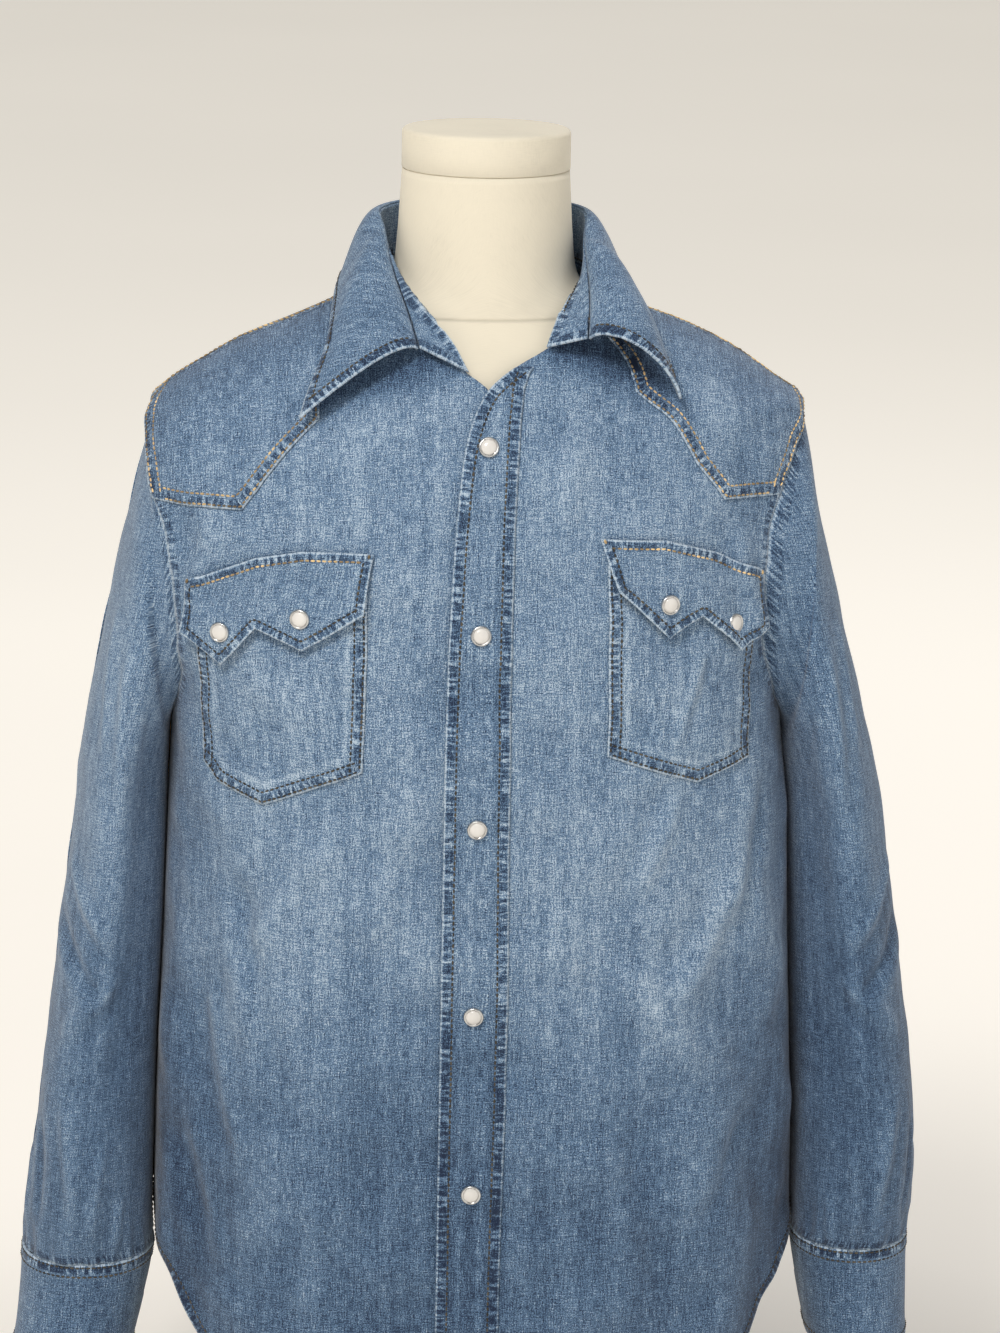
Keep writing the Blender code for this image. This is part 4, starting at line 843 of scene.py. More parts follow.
def makeYoke(name, node, sign):
    look = pieces[name]
    neckline = body["neckline"]
    column = 2 if sign > 0 else 1
    low = asTurns(look["edge"])
    end = low[-1, 1]
    low[-1, 0] = sign * float(sideTurn(end, 3))
    neck = np.linspace(look["neckTurn"], 90.0, 30)
    low[0] = (sign * neck[0], curveAt(neckline, column, neck[0]))
    tip = body["armhole"][-1, 0]
    arm = np.linspace(end, tip, 30)
    arm = np.stack((sign * sideTurn(arm, 3), arm), -1)
    neck = np.stack((sign * neck, curveAt(neckline, column, neck)), -1)
    shoulder = np.stack((np.full(20, sign * 90.0), np.linspace(neck[-1, 1], tip, 20)), -1)
    grid = patch(low, shoulder, neck, arm, 62, 100, (degreeArc, 1.6))
    points, normals, _ = makeOverlay(name, node, grid[..., 0], grid[..., 1], ["bottom", "top", "right"],
                                     cloth["gap"], cloth["overlay"] * 1.3, cloth["yokeRows"],
                                     fade["yoke"], reach=0.0085)
    for inset in cloth["yokeRows"]:
        sew("gold", *insetLine(points, normals, "bottom", inset, 0.010))
        sew("gold", *insetLine(points, normals, "right", inset + 0.001, 0.004))


makeYoke("yokeFrontLeft", "yoke_front_left", 1)
makeYoke("yokeFrontRight", "yoke_front_right", -1)


def makeBackYoke():
    look = pieces["yokeBack"]
    low = asTurns(look["edge"], True)[::-1]
    tip = body["armhole"][-1, 0]
    sides = []
    for i, sign in ((0, 1), (-1, -1)):
        low[i, 0] = 180.0 - sign * float(sideTurn(low[i, 1], 4))
        arm = np.linspace(low[i, 1], tip, 24)
        arm = np.stack((180.0 - sign * sideTurn(arm, 4), arm), -1)
        ridge = np.linspace(tip, 0.8320, 12)[1:]
        sides.append(np.concatenate((arm, np.stack((np.full(11, 180.0 - sign * 90.0), ridge), -1))))
    neck = np.linspace(90.0, 270.0, 80)
    top = np.stack((neck, curveAt(body["neckline"], 1, 180 - abs(neck - 180))), -1)
    grid = patch(low, top, sides[0], sides[1], 76, 210, (degreeArc, 1.6))
    points, normals, _ = makeOverlay("yokeBack", "yoke_back", grid[..., 0], grid[..., 1], ["bottom", "left", "right"],
                                     cloth["gap"], cloth["overlay"] * 1.3, cloth["yokeRows"],
                                     fade["yoke"], reach=0.0085)
    for inset in cloth["yokeRows"]:
        sew("gold", *insetLine(points, normals, "bottom", inset, 0.012))
        for side in ("left", "right"):
            sew("gold", *insetLine(points, normals, side, inset + 0.001, 0.006))


makeBackYoke()


def makePocket(side):
    name = "pocket" + side
    look = pieces[name]
    grid = patch(look["bottom"], look["top"], look["left"], look["right"], 84, 66)
    turns = turnOfAside(grid[..., 0], grid[..., 1])
    points, normals, _ = makeOverlay(name, "pocket_" + side.lower(), turns, grid[..., 1],
                                     ["bottom", "left", "right"], cloth["gap"], cloth["overlay"] * 1.2,
                                     (0.0019, 0.0075), fade["pocket"],
                                     ghosts=(0.0108, 0.0125))
    for edge in ("bottom", "left", "right"):
        for inset in (0.0019, 0.0075):
            sew("olive", *insetLine(points, normals, edge, inset, 0.002))


def makeFlap(side, sign):
    name = "flap" + side
    look = pieces[name]
    grid = patch(look["bottom"], look["top"], look["left"], look["right"], 44, 92)
    turns = turnOfAside(grid[..., 0], grid[..., 1])
    t = np.linspace(0, 1, 44)[:, None]
    corner = np.abs(np.linspace(-1, 1, 92))[None]
    wavy = 0.0007 * np.sin(np.linspace(0, 9.0, 92) + (1 if sign > 0 else 3.5))[None]
    lift = (1 - t) ** 2 * (0.0038 + wavy + 0.0024 * corner ** 8)
    points, normals, _ = makeOverlay(name, "flap_" + side.lower(), turns, grid[..., 1],
                                          ["bottom", "top", "left", "right"], cloth["flapLift"], 0.0011,
                                          (0.0052,), fade["pocket"] - 0.02,
                                          wall=0.0009, reach=0.0055, lift=lift)
    for edge, kind in (("bottom", "olive"), ("left", "olive"), ("right", "olive"), ("top", "gold")):
        sew(kind, *insetLine(points, normals, edge, 0.0052, 0.004))
    for c in (2, -3):
        at = points[-5:, c]
        sew("gold", at + normals[-5:, c] * 0.0002, normals[-5:, c], 1.5)


for side, sign in (("Left", 1), ("Right", -1)):
    makePocket(side)
    makeFlap(side, sign)
print("stage: yokes, placket, pockets")

# Sleeves and cuffs.
sleeve = {
    # outer X, outer Z, inner X, inner Z, ahead, behind, middle Y
    "right": np.array([
        (0.2025, 0.735, 0.1905, 0.5500, 0.068, 0.074, 0.000), (0.2115, 0.700, 0.1915, 0.5420, 0.073, 0.078, 0.000),
        (0.2213, 0.658, 0.1925, 0.5320, 0.074, 0.078, 0.000), (0.2300, 0.617, 0.1930, 0.5200, 0.073, 0.076, 0.000),
        (0.2390, 0.573, 0.1935, 0.5020, 0.071, 0.073, -0.001), (0.2515, 0.482, 0.1955, 0.4450, 0.067, 0.067, -0.004),
        (0.2570, 0.440, 0.1970, 0.4130, 0.065, 0.064, -0.006), (0.2675, 0.355, 0.2003, 0.3450, 0.061, 0.060, -0.010),
        (0.2735, 0.305, 0.2022, 0.3000, 0.057, 0.056, -0.012), (0.2790, 0.262, 0.2032, 0.2600, 0.053, 0.052, -0.014),
        (0.2828, 0.232, 0.2030, 0.2320, 0.050, 0.049, -0.015), (0.2835, 0.213, 0.2022, 0.2130, 0.045, 0.044, -0.016),
    ]),
    "left": np.array([
        (0.1985, 0.735, 0.1885, 0.5500, 0.068, 0.074, 0.000), (0.2050, 0.700, 0.1895, 0.5420, 0.073, 0.078, 0.000),
        (0.2151, 0.659, 0.1910, 0.5320, 0.074, 0.078, 0.000), (0.2250, 0.617, 0.1922, 0.5200, 0.073, 0.076, 0.000),
        (0.2375, 0.573, 0.1938, 0.5020, 0.071, 0.073, -0.001), (0.2560, 0.485, 0.1972, 0.4450, 0.067, 0.067, -0.004),
        (0.2625, 0.440, 0.1985, 0.4130, 0.065, 0.064, -0.006), (0.2745, 0.355, 0.2022, 0.3450, 0.061, 0.060, -0.010),
        (0.2805, 0.300, 0.2045, 0.3000, 0.057, 0.056, -0.012), (0.2812, 0.262, 0.2056, 0.2600, 0.053, 0.052, -0.014),
        (0.2800, 0.236, 0.2054, 0.2360, 0.050, 0.049, -0.015), (0.2790, 0.220, 0.2050, 0.2200, 0.045, 0.044, -0.016),
    ]),
    "cuffright": np.array([
        (0.2852, 0.2127, 0.2010, 0.2127, 0.0455, 0.0445, -0.016),
        (0.2885, 0.1750, 0.2085, 0.1750, 0.0440, 0.0430, -0.017),
        (0.2922, 0.1410, 0.2160, 0.1410, 0.0425, 0.0410, -0.018),
    ]),
    "cuffleft": np.array([
        (0.2802, 0.2197, 0.2045, 0.2197, 0.0455, 0.0445, -0.016),
        (0.2815, 0.1820, 0.2105, 0.1820, 0.0440, 0.0430, -0.017),
        (0.2820, 0.1480, 0.2170, 0.1480, 0.0425, 0.0410, -0.018),
    ]),
    "folds": (
        (126.0, 118.0, 0.66, 0.40, 24.0, -0.0050), (92.0, 88.0, 0.64, 0.42, 24.0, 0.0030),
        (50.0, 110.0, 0.47, 0.35, 24.0, -0.0040), (30.0, 70.0, 0.40, 0.27, 26.0, 0.0030),
        (250.0, 236.0, 0.62, 0.38, 26.0, -0.0050), (304.0, 262.0, 0.48, 0.34, 26.0, -0.0040),
        (330.0, 290.0, 0.38, 0.24, 26.0, 0.0030),
    ),
    # turn, height, turn, height, width, rise, paleness; turn 0 is the outer side, 90 the front
    "creases": (
        (20.0, 0.480, 100.0, 0.420, 0.006, 0.0014, 0.06), (10.0, 0.440, 95.0, 0.385, 0.006, -0.0014, 0.00),
        (40.0, 0.360, 110.0, 0.405, 0.007, 0.0013, 0.05), (70.0, 0.620, 95.0, 0.500, 0.007, 0.0013, 0.04),
        (40.0, 0.640, 62.0, 0.540, 0.007, 0.0011, 0.03), (60.0, 0.330, 84.0, 0.235, 0.006, 0.0012, 0.04),
        (100.0, 0.300, 92.0, 0.225, 0.005, 0.0012, 0.03), (30.0, 0.310, 44.0, 0.230, 0.006, -0.0010, 0.00),
        (10.0, 0.290, 16.0, 0.225, 0.005, 0.0010, 0.03), (250.0, 0.470, 330.0, 0.410, 0.007, 0.0014, 0.04),
        (235.0, 0.400, 320.0, 0.370, 0.007, -0.0014, 0.00), (270.0, 0.620, 285.0, 0.500, 0.007, 0.0013, 0.03),
        (255.0, 0.320, 262.0, 0.230, 0.006, 0.0012, 0.03), (300.0, 0.330, 296.0, 0.240, 0.006, 0.0011, 0.03),
        (330.0, 0.580, 352.0, 0.500, 0.007, 0.0010, 0.03), (120.0, 0.260, 118.0, 0.222, 0.004, 0.0009, 0.04),
    ),
    "creaseGain": 2.2, "headLow": 0.38, "headSpan": 0.22, "squareness": 2.15,
    "blendRings": 4, "turnArc": 0.0011, "columns": 116, "rows": 158, "wall": 0.0009,
    "flat": (0.43, 0.56), "cuffFlat": (0.265, 0.078), "placketFlat": (0.022, 0.09),
    "cuffSeam": 232.0, "cuffLap": 22.0, "lapRamp": 45.0, "lapRise": 0.0026,
}
ringTips = np.array((0.757, 0.745, 0.730, 0.705, 0.680, 0.650, 0.620, 0.590, 0.570, 0.560))


def naturalTurn(even):
    # angle round the armhole of a sleeve point, from its even place round the sleeve
    share = (ringTips[0] - ringTips) / (ringTips[0] - ringTips[-1])
    half = np.degrees(np.arccos(1 - 2 * share))
    table = np.stack((np.arange(10) * 20.0, half), -1)
    folded = 180.0 - abs(180.0 - even % 360.0)
    value = curveAt(table, 1, folded)
    return np.where(even % 360.0 > 180.0, 360.0 - value, value)


def tubeRing(row, sign, turns):
    outerX, outerZ, innerX, innerZ, ahead, behind, middle = row
    c, s = np.cos(np.radians(turns)), np.sin(np.radians(turns))
    power = 2.0 / sleeve["squareness"]
    along = np.sign(c) * abs(c) ** power
    y = -np.sign(s) * np.where(s >= 0, ahead, behind) * abs(s) ** power
    x = sign * ((outerX + innerX) / 2 + (outerX - innerX) / 2 * along)
    z = (outerZ + innerZ) / 2 + (outerZ - innerZ) / 2 * along
    return np.stack((x, middle + y, z), -1)


def splineAt(rings, knots, at):
    # smooth line through one point of each ring
    slopes = np.gradient(rings, knots, axis=0)
    i = np.clip(np.searchsorted(knots, at) - 1, 0, len(knots) - 2)
    span = (knots[i + 1] - knots[i])
    t = (at - knots[i]) / span
    each = np.arange(rings.shape[1])

    def pick(table, row):
        return table[row, each] if table.shape[1] > 1 else table[row, 0]

    t, span = t[..., None], span[..., None]
    return (pick(rings, i) * (2 * t ** 3 - 3 * t ** 2 + 1) + pick(slopes, i) * span * (t ** 3 - 2 * t ** 2 + t)
            + pick(rings, i + 1) * (3 * t ** 2 - 2 * t ** 3) + pick(slopes, i + 1) * span * (t ** 3 - t ** 2))


def sleevePoint(sign, even, at):
    table = sleeve["right" if sign < 0 else "left"]
    flatEven, flatAt = even.ravel(), at.ravel()
    natural = naturalTurn(flatEven)
    wrapped = flatEven % 360.0
    tip, pit = ringTips[0], ringTips[-1]
    height = pit + (tip - pit) * (1 + np.cos(np.radians(natural))) / 2
    turn = np.where(wrapped <= 180.0, sign * sideTurn(height, 3), 180.0 - sign * sideTurn(height, 4))
    hole = bodyPoint(turn, height)
    rings = []
    for i, row in enumerate(table):
        blend = min((i + 1) / sleeve["blendRings"], 1.0)
        rings.append(tubeRing(row, sign, natural * (1 - blend) + wrapped * blend))
    lead = unit(rings[0] - hole) * 0.0005
    rings = np.array([hole + lead] + rings)
    knots = sleeveKnots(table)
    return splineAt(rings, knots, flatAt).reshape(even.shape + (3,))


def sleeveKnots(table):
    lengths = np.linalg.norm(np.diff((table[:, :2] + table[:, 2:4]) / 2, axis=0), axis=1)
    return np.concatenate(([0, 0.016], 0.016 + np.cumsum(lengths)))


def sleeveSurface(sign, even, at):
    # outer face with its folds and creases, smooth round the arm
    def raw(e, a):
        return sleevePoint(sign, e, a)
    base = raw(even, at)
    across = raw(even + 1.5, at) - raw(even - 1.5, at)
    down = raw(even, at + 0.002) - raw(even, np.maximum(at - 0.002, 0))
    normal = unit(np.cross(across, down)) * sign
    reach = (at / 0.05)
    fold = foldRise(sleeve["folds"], even % 360.0, base[..., 2]) * ease(reach - 0.6)
    crease, pale = creaseRise(sleeve["creases"], even % 360.0, base[..., 2], sleeve["turnArc"])
    crease = crease * sleeve["creaseGain"]
    inner = ease((abs(abs(even % 360.0 - 180.0)) - 20) / 25)
    total = sleeveKnots(sleeve["right" if sign < 0 else "left"])[-1]
    gathers = 0.0009 * np.sin(np.radians(even * 17) + 1.5 * np.sin(np.radians(even * 3)))
    gathers = gathers * ease(1 - (total - at) / 0.045)
    small = (crease + rumple(even * 0.0011 + sign, base[..., 2]) + gathers) * inner * ease(reach)
    close = 0.0013 * (1 - inner) * ease((0.56 - base[..., 2]) / 0.03) * (1 - ease((0.27 - base[..., 2]) / 0.05))
    rise = fold + small + close
    # paleness: worn pale creases; folds and creases also turn paler on their ridges, partly wear and partly painted
    # light, and darker in their troughs as painted shade
    pale = pale + np.clip(fold / 0.005, -1, 1) * 0.06 + np.clip(small / 0.0012, -1, 1) * 0.05
    return base + normal * rise[..., None], normal, pale


def trueNormals(points, guide):
    along = np.gradient(points, axis=1)
    along[:, 0] = along[:, 0] if not np.allclose(points[:, 0], points[:, -1]) else points[:, 1] - points[:, -2]
    along[:, -1] = along[:, -1] if not np.allclose(points[:, 0], points[:, -1]) else along[:, 0]
    normal = unit(np.cross(along, np.gradient(points, axis=0)))
    return normal * np.sign((normal * guide).sum(-1, keepdims=True) + 1e-9)


def makeSleeve(sign, side):
    table = sleeve[side]
    length = sleeveKnots(table)[-1]
    even = np.linspace(0, 360, sleeve["columns"])
    at = np.linspace(0, length, sleeve["rows"])
    grid, reach = np.meshgrid(even, at)
    points, normals, pale = sleeveSurface(sign, grid, reach)
    centre = points.mean(axis=1, keepdims=True)
    if ((points - centre) * normals).sum() < 0:
        normals = -normals
    top = reach
    steps = np.linalg.norm(np.diff(points, axis=1), axis=2)
    run = np.cumsum(np.concatenate((np.zeros((len(points), 1)), steps), 1), 1)
    under = abs(grid - 188.0) * 0.0011
    far = np.minimum(np.minimum(top, length - top), under)
    seamRun = np.where(under <= far + 1e-9, reach + 2.2, run)
    height = points[..., 2]
    # painted shade: each sleeve darker over its back half; painted light: the wearer's right sleeve, nearer the key
    # lamp, paler than the left; each also darker towards its outer side
    wash = curveAt(fade["sleeve"], 1, height) + pale - 0.05 * ease((np.sin(np.radians(grid)) * -1 + 0.2))
    wash = wash + (0.08 if sign < 0 else 0.0)
    outer = ease((np.cos(np.radians(grid)) - 0.55) / 0.4)
    fields = {"wash": wash - 0.06 * outer, "edgeFar": far, "edgeRun": seamRun,
              "edgeBand": ease((0.02 - far) / 0.01) * 0.8}
    pucker = puckers(run, length - top, 0.0005, 0.012)
    points = points + normals * pucker[..., None]
    name = "sleeve" + side.capitalize()
    # the head's grain runs level from the armhole, the arm's runs round it
    outerX = np.interp(height, table[::-1, 1], table[::-1, 0])
    inward = outerX - abs(points[..., 0])
    across = np.cumsum(abs(np.diff(points[..., 1], axis=1, prepend=points[:, :1, 1])), axis=1)
    level = np.where(grid <= 180, across + inward, 360 * sleeve["turnArc"] - (across[:, -1:] - across + inward))
    head = ease((height - sleeve["headLow"]) / sleeve["headSpan"])
    grain = (grid * sleeve["turnArc"] * (1 - head) + level * head, points[..., 2] * 1.03)
    piece = giveWall(clothPiece(name, points, normals, fields, [denim, denimInside], True, grain), sleeve["wall"])
    settle(piece, ["sleeve_" + side])
    for shift in (-3.0, 3.0):
        line = np.full(120, 188.0 + shift)
        path, facing, _ = sleeveSurface(sign, line, np.linspace(0.012, length - 0.004, 120))
        if ((path - centre.reshape(-1, 3)[np.linspace(0, len(centre) - 1, 120).astype(int)]) * facing).sum() < 0:
            facing = -facing
        sew("olive", path + facing * 0.0002, facing)
    return length


def makeSleevePlacket(sign, side, length):
    e, a = np.meshgrid(np.linspace(221, 239, 16), np.linspace(length - 0.088, length - 0.001, 60))
    points, normals, pale = sleeveSurface(sign, e, a)
    if normals[30, 8] @ (points[30, 8] - np.array((sign * 0.24, -0.012, points[30, 8, 2]))) < 0:
        normals = -normals
    far, run = edgeField(points, borders(points, ["left", "right", "bottom"]))
    rise = cloth["gap"] + edgeProfile(far, 0.0009, (0.002,)) + puckers(run, far, 0.0002, 0.006)
    points = points + normals * rise[..., None]
    fields = {"wash": curveAt(fade["sleeve"], 1, points[..., 2]) + pale, "edgeFar": far, "edgeRun": run,
              "edgeBand": np.ones_like(far)}
    name = "sleevePlacket" + side.capitalize()
    piece = giveWall(clothPiece(name, points, normals, fields, [denim, denimInside]), 0.0006, lining=False)
    settle(piece, ["sleeve_placket_" + side])
    for edge in ("left", "right", "bottom"):
        sew("olive", *insetLine(points, normals, edge, 0.002, 0.002))


def makeCuff(sign, side):
    table = sleeve["cuff" + side]
    turns = sleeve["cuffSeam"] + np.linspace(0, 360.0 + sleeve["cuffLap"], 190)
    rings = np.array([tubeRing(row, sign, turns) for row in table])
    knots = np.array((0, 0.5, 1.0))
    rows = []
    for share in np.linspace(0, 1, 44):
        rows.append(splineAt(rings, knots, np.full(len(turns), share)))
    points = np.array(rows)
    centre = points[:, :-11].mean(axis=1, keepdims=True)
    out = points - centre
    out[..., 2] = 0
    normals = trueNormals(points, unit(out))
    normals = normals * np.sign((normals * out).sum(-1, keepdims=True))
    end = sleeve["cuffSeam"] + 360.0
    ramp = np.clip((turns - (end - sleeve["lapRamp"])) / sleeve["lapRamp"], 0, 1)
    far, run = edgeField(points, borders(points, ["top", "bottom"]))
    ends, endRun = edgeField(points[:, -24:], borders(points, ["right"]))
    far[:, -24:], run[:, -24:] = (np.where(ends < far[:, -24:], ends, far[:, -24:]),
                                  np.where(ends < far[:, -24:], endRun + 2, run[:, -24:]))
    first = np.linspace(0, 0.078, 44)[:, None]
    rise = edgeProfile(far, 0.0006, (0.0018, 0.0080), seam=0.009) - 0.0009
    rise = rise + puckers(run, far, 0.0003, 0.0085) + 0.0006 * np.sin(run / 0.031 + first * 40) * ease(far / 0.02)
    points = points + unit(out) * (ramp * sleeve["lapRise"])[None, :, None] + normals * rise[..., None]
    wash = fade["cuff"] + 0.04 * np.sin(run * 60) + 0.10 * ease((0.011 - first) / 0.002) + 0 * run
    fields = {"wash": wash, "edgeFar": far, "edgeRun": run, "edgeBand": 1.25 + 0 * far}
    name = "cuff" + side.capitalize()
    piece = giveWall(clothPiece(name, points, normals, fields, [denim, denimInside]), 0.0016)
    settle(piece, ["cuff_" + side])
    for edge, inset in (("bottom", 0.0018), ("bottom", 0.0080), ("top", 0.0070), ("right", 0.0045)):
        sew("olive", *insetLine(points, normals, edge, inset, 0.004))


for side, sign in (("right", -1), ("left", 1)):
    length = makeSleeve(sign, side)
    makeSleevePlacket(sign, side, length)
    makeCuff(sign, side)
print("stage: sleeves and cuffs")

# Collar on its stand.
collar = {
    # seam turn from centre front, fold (aside, ahead, up), edge (aside, ahead, up), bulge of the leaf
    "right": np.array([
        (180.0, 0.0000, -0.0655, 0.8655, 0.0000, -0.0890, 0.8220, 0.0050),
        (145.0, 0.0376, -0.0537, 0.8655, 0.0530, -0.0728, 0.8215, 0.0050),
        (113.0, 0.0585, -0.0275, 0.8650, 0.0833, -0.0354, 0.8210, 0.0050),
        (90.0, 0.0636, -0.0080, 0.8635, 0.0893, 0.0000, 0.8205, 0.0045),
        (68.0, 0.0612, 0.0075, 0.8560, 0.0925, 0.0330, 0.8125, 0.0040),
        (46.0, 0.0590, 0.0185, 0.8485, 0.0962, 0.0590, 0.7955, 0.0035),
        (24.0, 0.0520, 0.0420, 0.8300, 0.1030, 0.0720, 0.7800, 0.0030),
        (11.0, 0.0450, 0.0620, 0.8120, 0.1085, 0.0830, 0.7690, 0.0020),
        (4.6, 0.0405, 0.0775, 0.7970, 0.1125, 0.0930, 0.7580, 0.0010),
    ]),
    "left": np.array([
        (180.0, 0.0000, -0.0655, 0.8655, 0.0000, -0.0890, 0.8220, 0.0050),
        (145.0, 0.0376, -0.0537, 0.8655, 0.0530, -0.0728, 0.8215, 0.0050),
        (113.0, 0.0580, -0.0275, 0.8650, 0.0833, -0.0354, 0.8205, 0.0050),
        (90.0, 0.0618, -0.0080, 0.8625, 0.0873, 0.0000, 0.8185, 0.0045),
        (68.0, 0.0598, 0.0110, 0.8510, 0.0915, 0.0350, 0.8090, 0.0040),
        (50.0, 0.0585, 0.0330, 0.8390, 0.0975, 0.0640, 0.7910, 0.0045),
        (36.5, 0.0580, 0.0560, 0.8255, 0.1040, 0.0700, 0.7855, 0.0055),
        (22.0, 0.0570, 0.0700, 0.8140, 0.1090, 0.0790, 0.7770, 0.0055),
        (15.0, 0.0560, 0.0785, 0.8035, 0.1125, 0.0870, 0.7700, 0.0050),
    ]),
    "curl": (0.0065, 0.0125), "standLift": 0.0019, "leafLift": 0.0020, "leafRoll": 0.0100,
    "wall": 0.0015, "standWall": 0.0017,
    "leafFlat": (0.50, 0.075), "standFlat": (0.47, 0.045), "columns": 230, "stitch": 0.0063,
}


def collarLines():
    seams, folds, edges, bulges = [], [], [], []
    for table, sign, column in ((collar["right"][::-1], -1, 1), (collar["left"][1:], 1, 2)):
        for turn, *rest in table:
            height = curveAt(body["neckline"], column, turn)
            point, normal = bodySurface(np.array(sign * turn), np.array(float(height)))
            seams.append(point + normal * collar["standLift"])
            folds.append((sign * rest[0], -rest[1], rest[2]))
            edges.append((sign * rest[3], -rest[4], rest[5]))
            bulges.append(rest[6])
    knots = np.concatenate(([0], np.cumsum(np.linalg.norm(np.diff(np.array(edges), axis=0), axis=1))))
    at = np.linspace(0, knots[-1], collar["columns"])
    lines = [splineAt(np.array(line)[:, None], knots, at) for line in (seams, folds, edges)]
    return lines + [np.interp(at, knots, bulges)[:, None]]


def makeCollar():
    seams, folds, edges, bulges = collarLines()
    shares = np.linspace(0, 1, 26)[:, None, None]
    along = unit(np.gradient(folds, axis=0))
    rise = folds - seams
    rise = unit(rise - along * (rise * along).sum(axis=1, keepdims=True))
    stand = seams * (1 - shares) + (folds + rise * (collar["leafLift"] - 0.0005)) * shares
    out = stand - stand.mean(axis=1, keepdims=True)
    normals = trueNormals(stand, unit(out))
    far, run = edgeField(stand, borders(stand, ["bottom", "left", "right"]))
    stand = stand + normals * (puckers(run, far, 0.0002, 0.006) + collar["standWall"] / 2)[..., None]
    wash = 0.52 + 0.04 * np.sin(run * 90)
    fields = {"wash": wash, "edgeFar": far, "edgeRun": run, "edgeBand": np.ones_like(far)}
    piece = giveWall(clothPiece("collarStand", stand, normals, fields, [denim]), collar["standWall"], lining=False)
    settle(piece, ["collar_stand"])
    sew("olive", *insetLine(stand - normals * (collar["standWall"] + 0.0001), -normals, "bottom", 0.0022, 0.004))

    flat = edges - folds
    flat[:, 2] = 0
    flat = unit(flat)
    up = np.array((0.0, 0.0, 1.0))
    start = folds + rise * collar["leafLift"]
    first = start + flat * collar["leafRoll"] + up * 0.0015
    second = (start + edges) / 2 + (flat + up) * bulges
    t = np.linspace(0, 1, 44)[:, None, None]
    leaf = start * (1 - t) ** 3 + first * 3 * t * (1 - t) ** 2 + second * 3 * t ** 2 * (1 - t) + edges * t ** 3
    normals = trueNormals(leaf, np.broadcast_to(flat + up * 0.6, leaf.shape))
    far, run = edgeField(leaf, borders(leaf, ["top", "left", "right"]))
    swell = edgeProfile(far, 0.0006, (collar["stitch"],), seam=0.0085) - 0.0007
    wave = 0.0007 * np.sin(run / 0.023) * ease(far / 0.02) * ease(t[..., 0] * 3)
    drawn = puckers(run, far, 0.0003, collar["stitch"])
    points = leaf + normals * (collar["wall"] / 2 + swell + drawn + wave)[..., None]
    share = np.linspace(0, 1, leaf.shape[1])[None]
    front = collar["curl"][0] * ease((0.22 - share) / 0.2) + collar["curl"][1] * ease((share - 0.76) / 0.2)
    points = points + normals * (front * np.sin(math.pi * t[..., 0]) ** 0.8)[..., None]
    tips = np.minimum(np.linalg.norm(leaf - leaf[-1, 0], axis=2), np.linalg.norm(leaf - leaf[-1, -1], axis=2))
    wash = 0.48 + 0.20 * ease((0.007 - tips) / 0.006) + 0.05 * ease((0.25 - t[..., 0]) / 0.2) + 0 * far
    fields = {"wash": wash, "edgeFar": far, "edgeRun": run, "edgeBand": 1.2 + 0 * far}
    piece = giveWall(clothPiece("collarLeaf", points, normals, fields, [denim]), collar["wall"], lining=False)
    settle(piece, ["collar"])
    for edge in ("top", "left", "right"):
        sew("olive", *insetLine(points, normals, edge, collar["stitch"], 0.005))


makeCollar()
print("stage: collar")

# Dress form, its post and its base.
form = {
    # height, half width, ahead, behind, squareness
    "torso": ((0.085, 0.138, 0.0860, 0.0880, 2.3), (0.090, 0.147, 0.0940, 0.0960, 2.3),
              (0.100, 0.152, 0.0975, 0.0985, 2.3), (0.160, 0.155, 0.0985, 0.0990, 2.3),
              (0.240, 0.149, 0.0970, 0.0960, 2.3), (0.330, 0.142, 0.0950, 0.0915, 2.3),
              (0.420, 0.147, 0.1000, 0.0940, 2.3), (0.500, 0.156, 0.1080, 0.1000, 2.3),
              (0.580, 0.165, 0.1130, 0.1050, 2.3), (0.640, 0.171, 0.1120, 0.1050, 2.25),
              (0.690, 0.177, 0.1040, 0.1010, 2.2), (0.725, 0.180, 0.0950, 0.0970, 2.15),
              (0.750, 0.177, 0.0880, 0.0915, 2.1), (0.764, 0.170, 0.0840, 0.0880, 2.05)),
    "contact": (0.776, 0.788, 0.800, 0.812),
    "neck": ((0.8245, 0.0585, 0.0560, 0.0570, 2.0), (0.8360, 0.0545, 0.0530, 0.0535, 2.0),
             (0.8600, 0.0525, 0.0515, 0.0515, 2.0), (0.8940, 0.0505, 0.0505, 0.0505, 2.0)),
    "insetSide": 0.0022, "insetFace": 0.0050, "seamHeight": 0.811,
    "capRadius": 0.0508, "capLow": 0.8943, "capHigh": 0.9183, "capRounding": 0.0030,
}


def ovalRing(half, ahead, behind, squareness, turn, height):
    side, face = np.sin(np.radians(turn)), np.cos(np.radians(turn))
    power = 2.0 / squareness
    reach = np.where(face >= 0, ahead, behind)
    return np.stack((np.sign(side) * half * abs(side) ** power, -np.sign(face) * reach * abs(face) ** power,
                     height + 0 * turn), -1)


def closeEnds(piece):
    bm = bmesh.new()
    bm.from_mesh(piece.data)
    bmesh.ops.holes_fill(bm, edges=[e for e in bm.edges if e.is_boundary], sides=0)
    bmesh.ops.recalc_face_normals(bm, faces=bm.faces)
    bm.to_mesh(piece.data)
    bm.free()
    piece.data.shade_smooth()


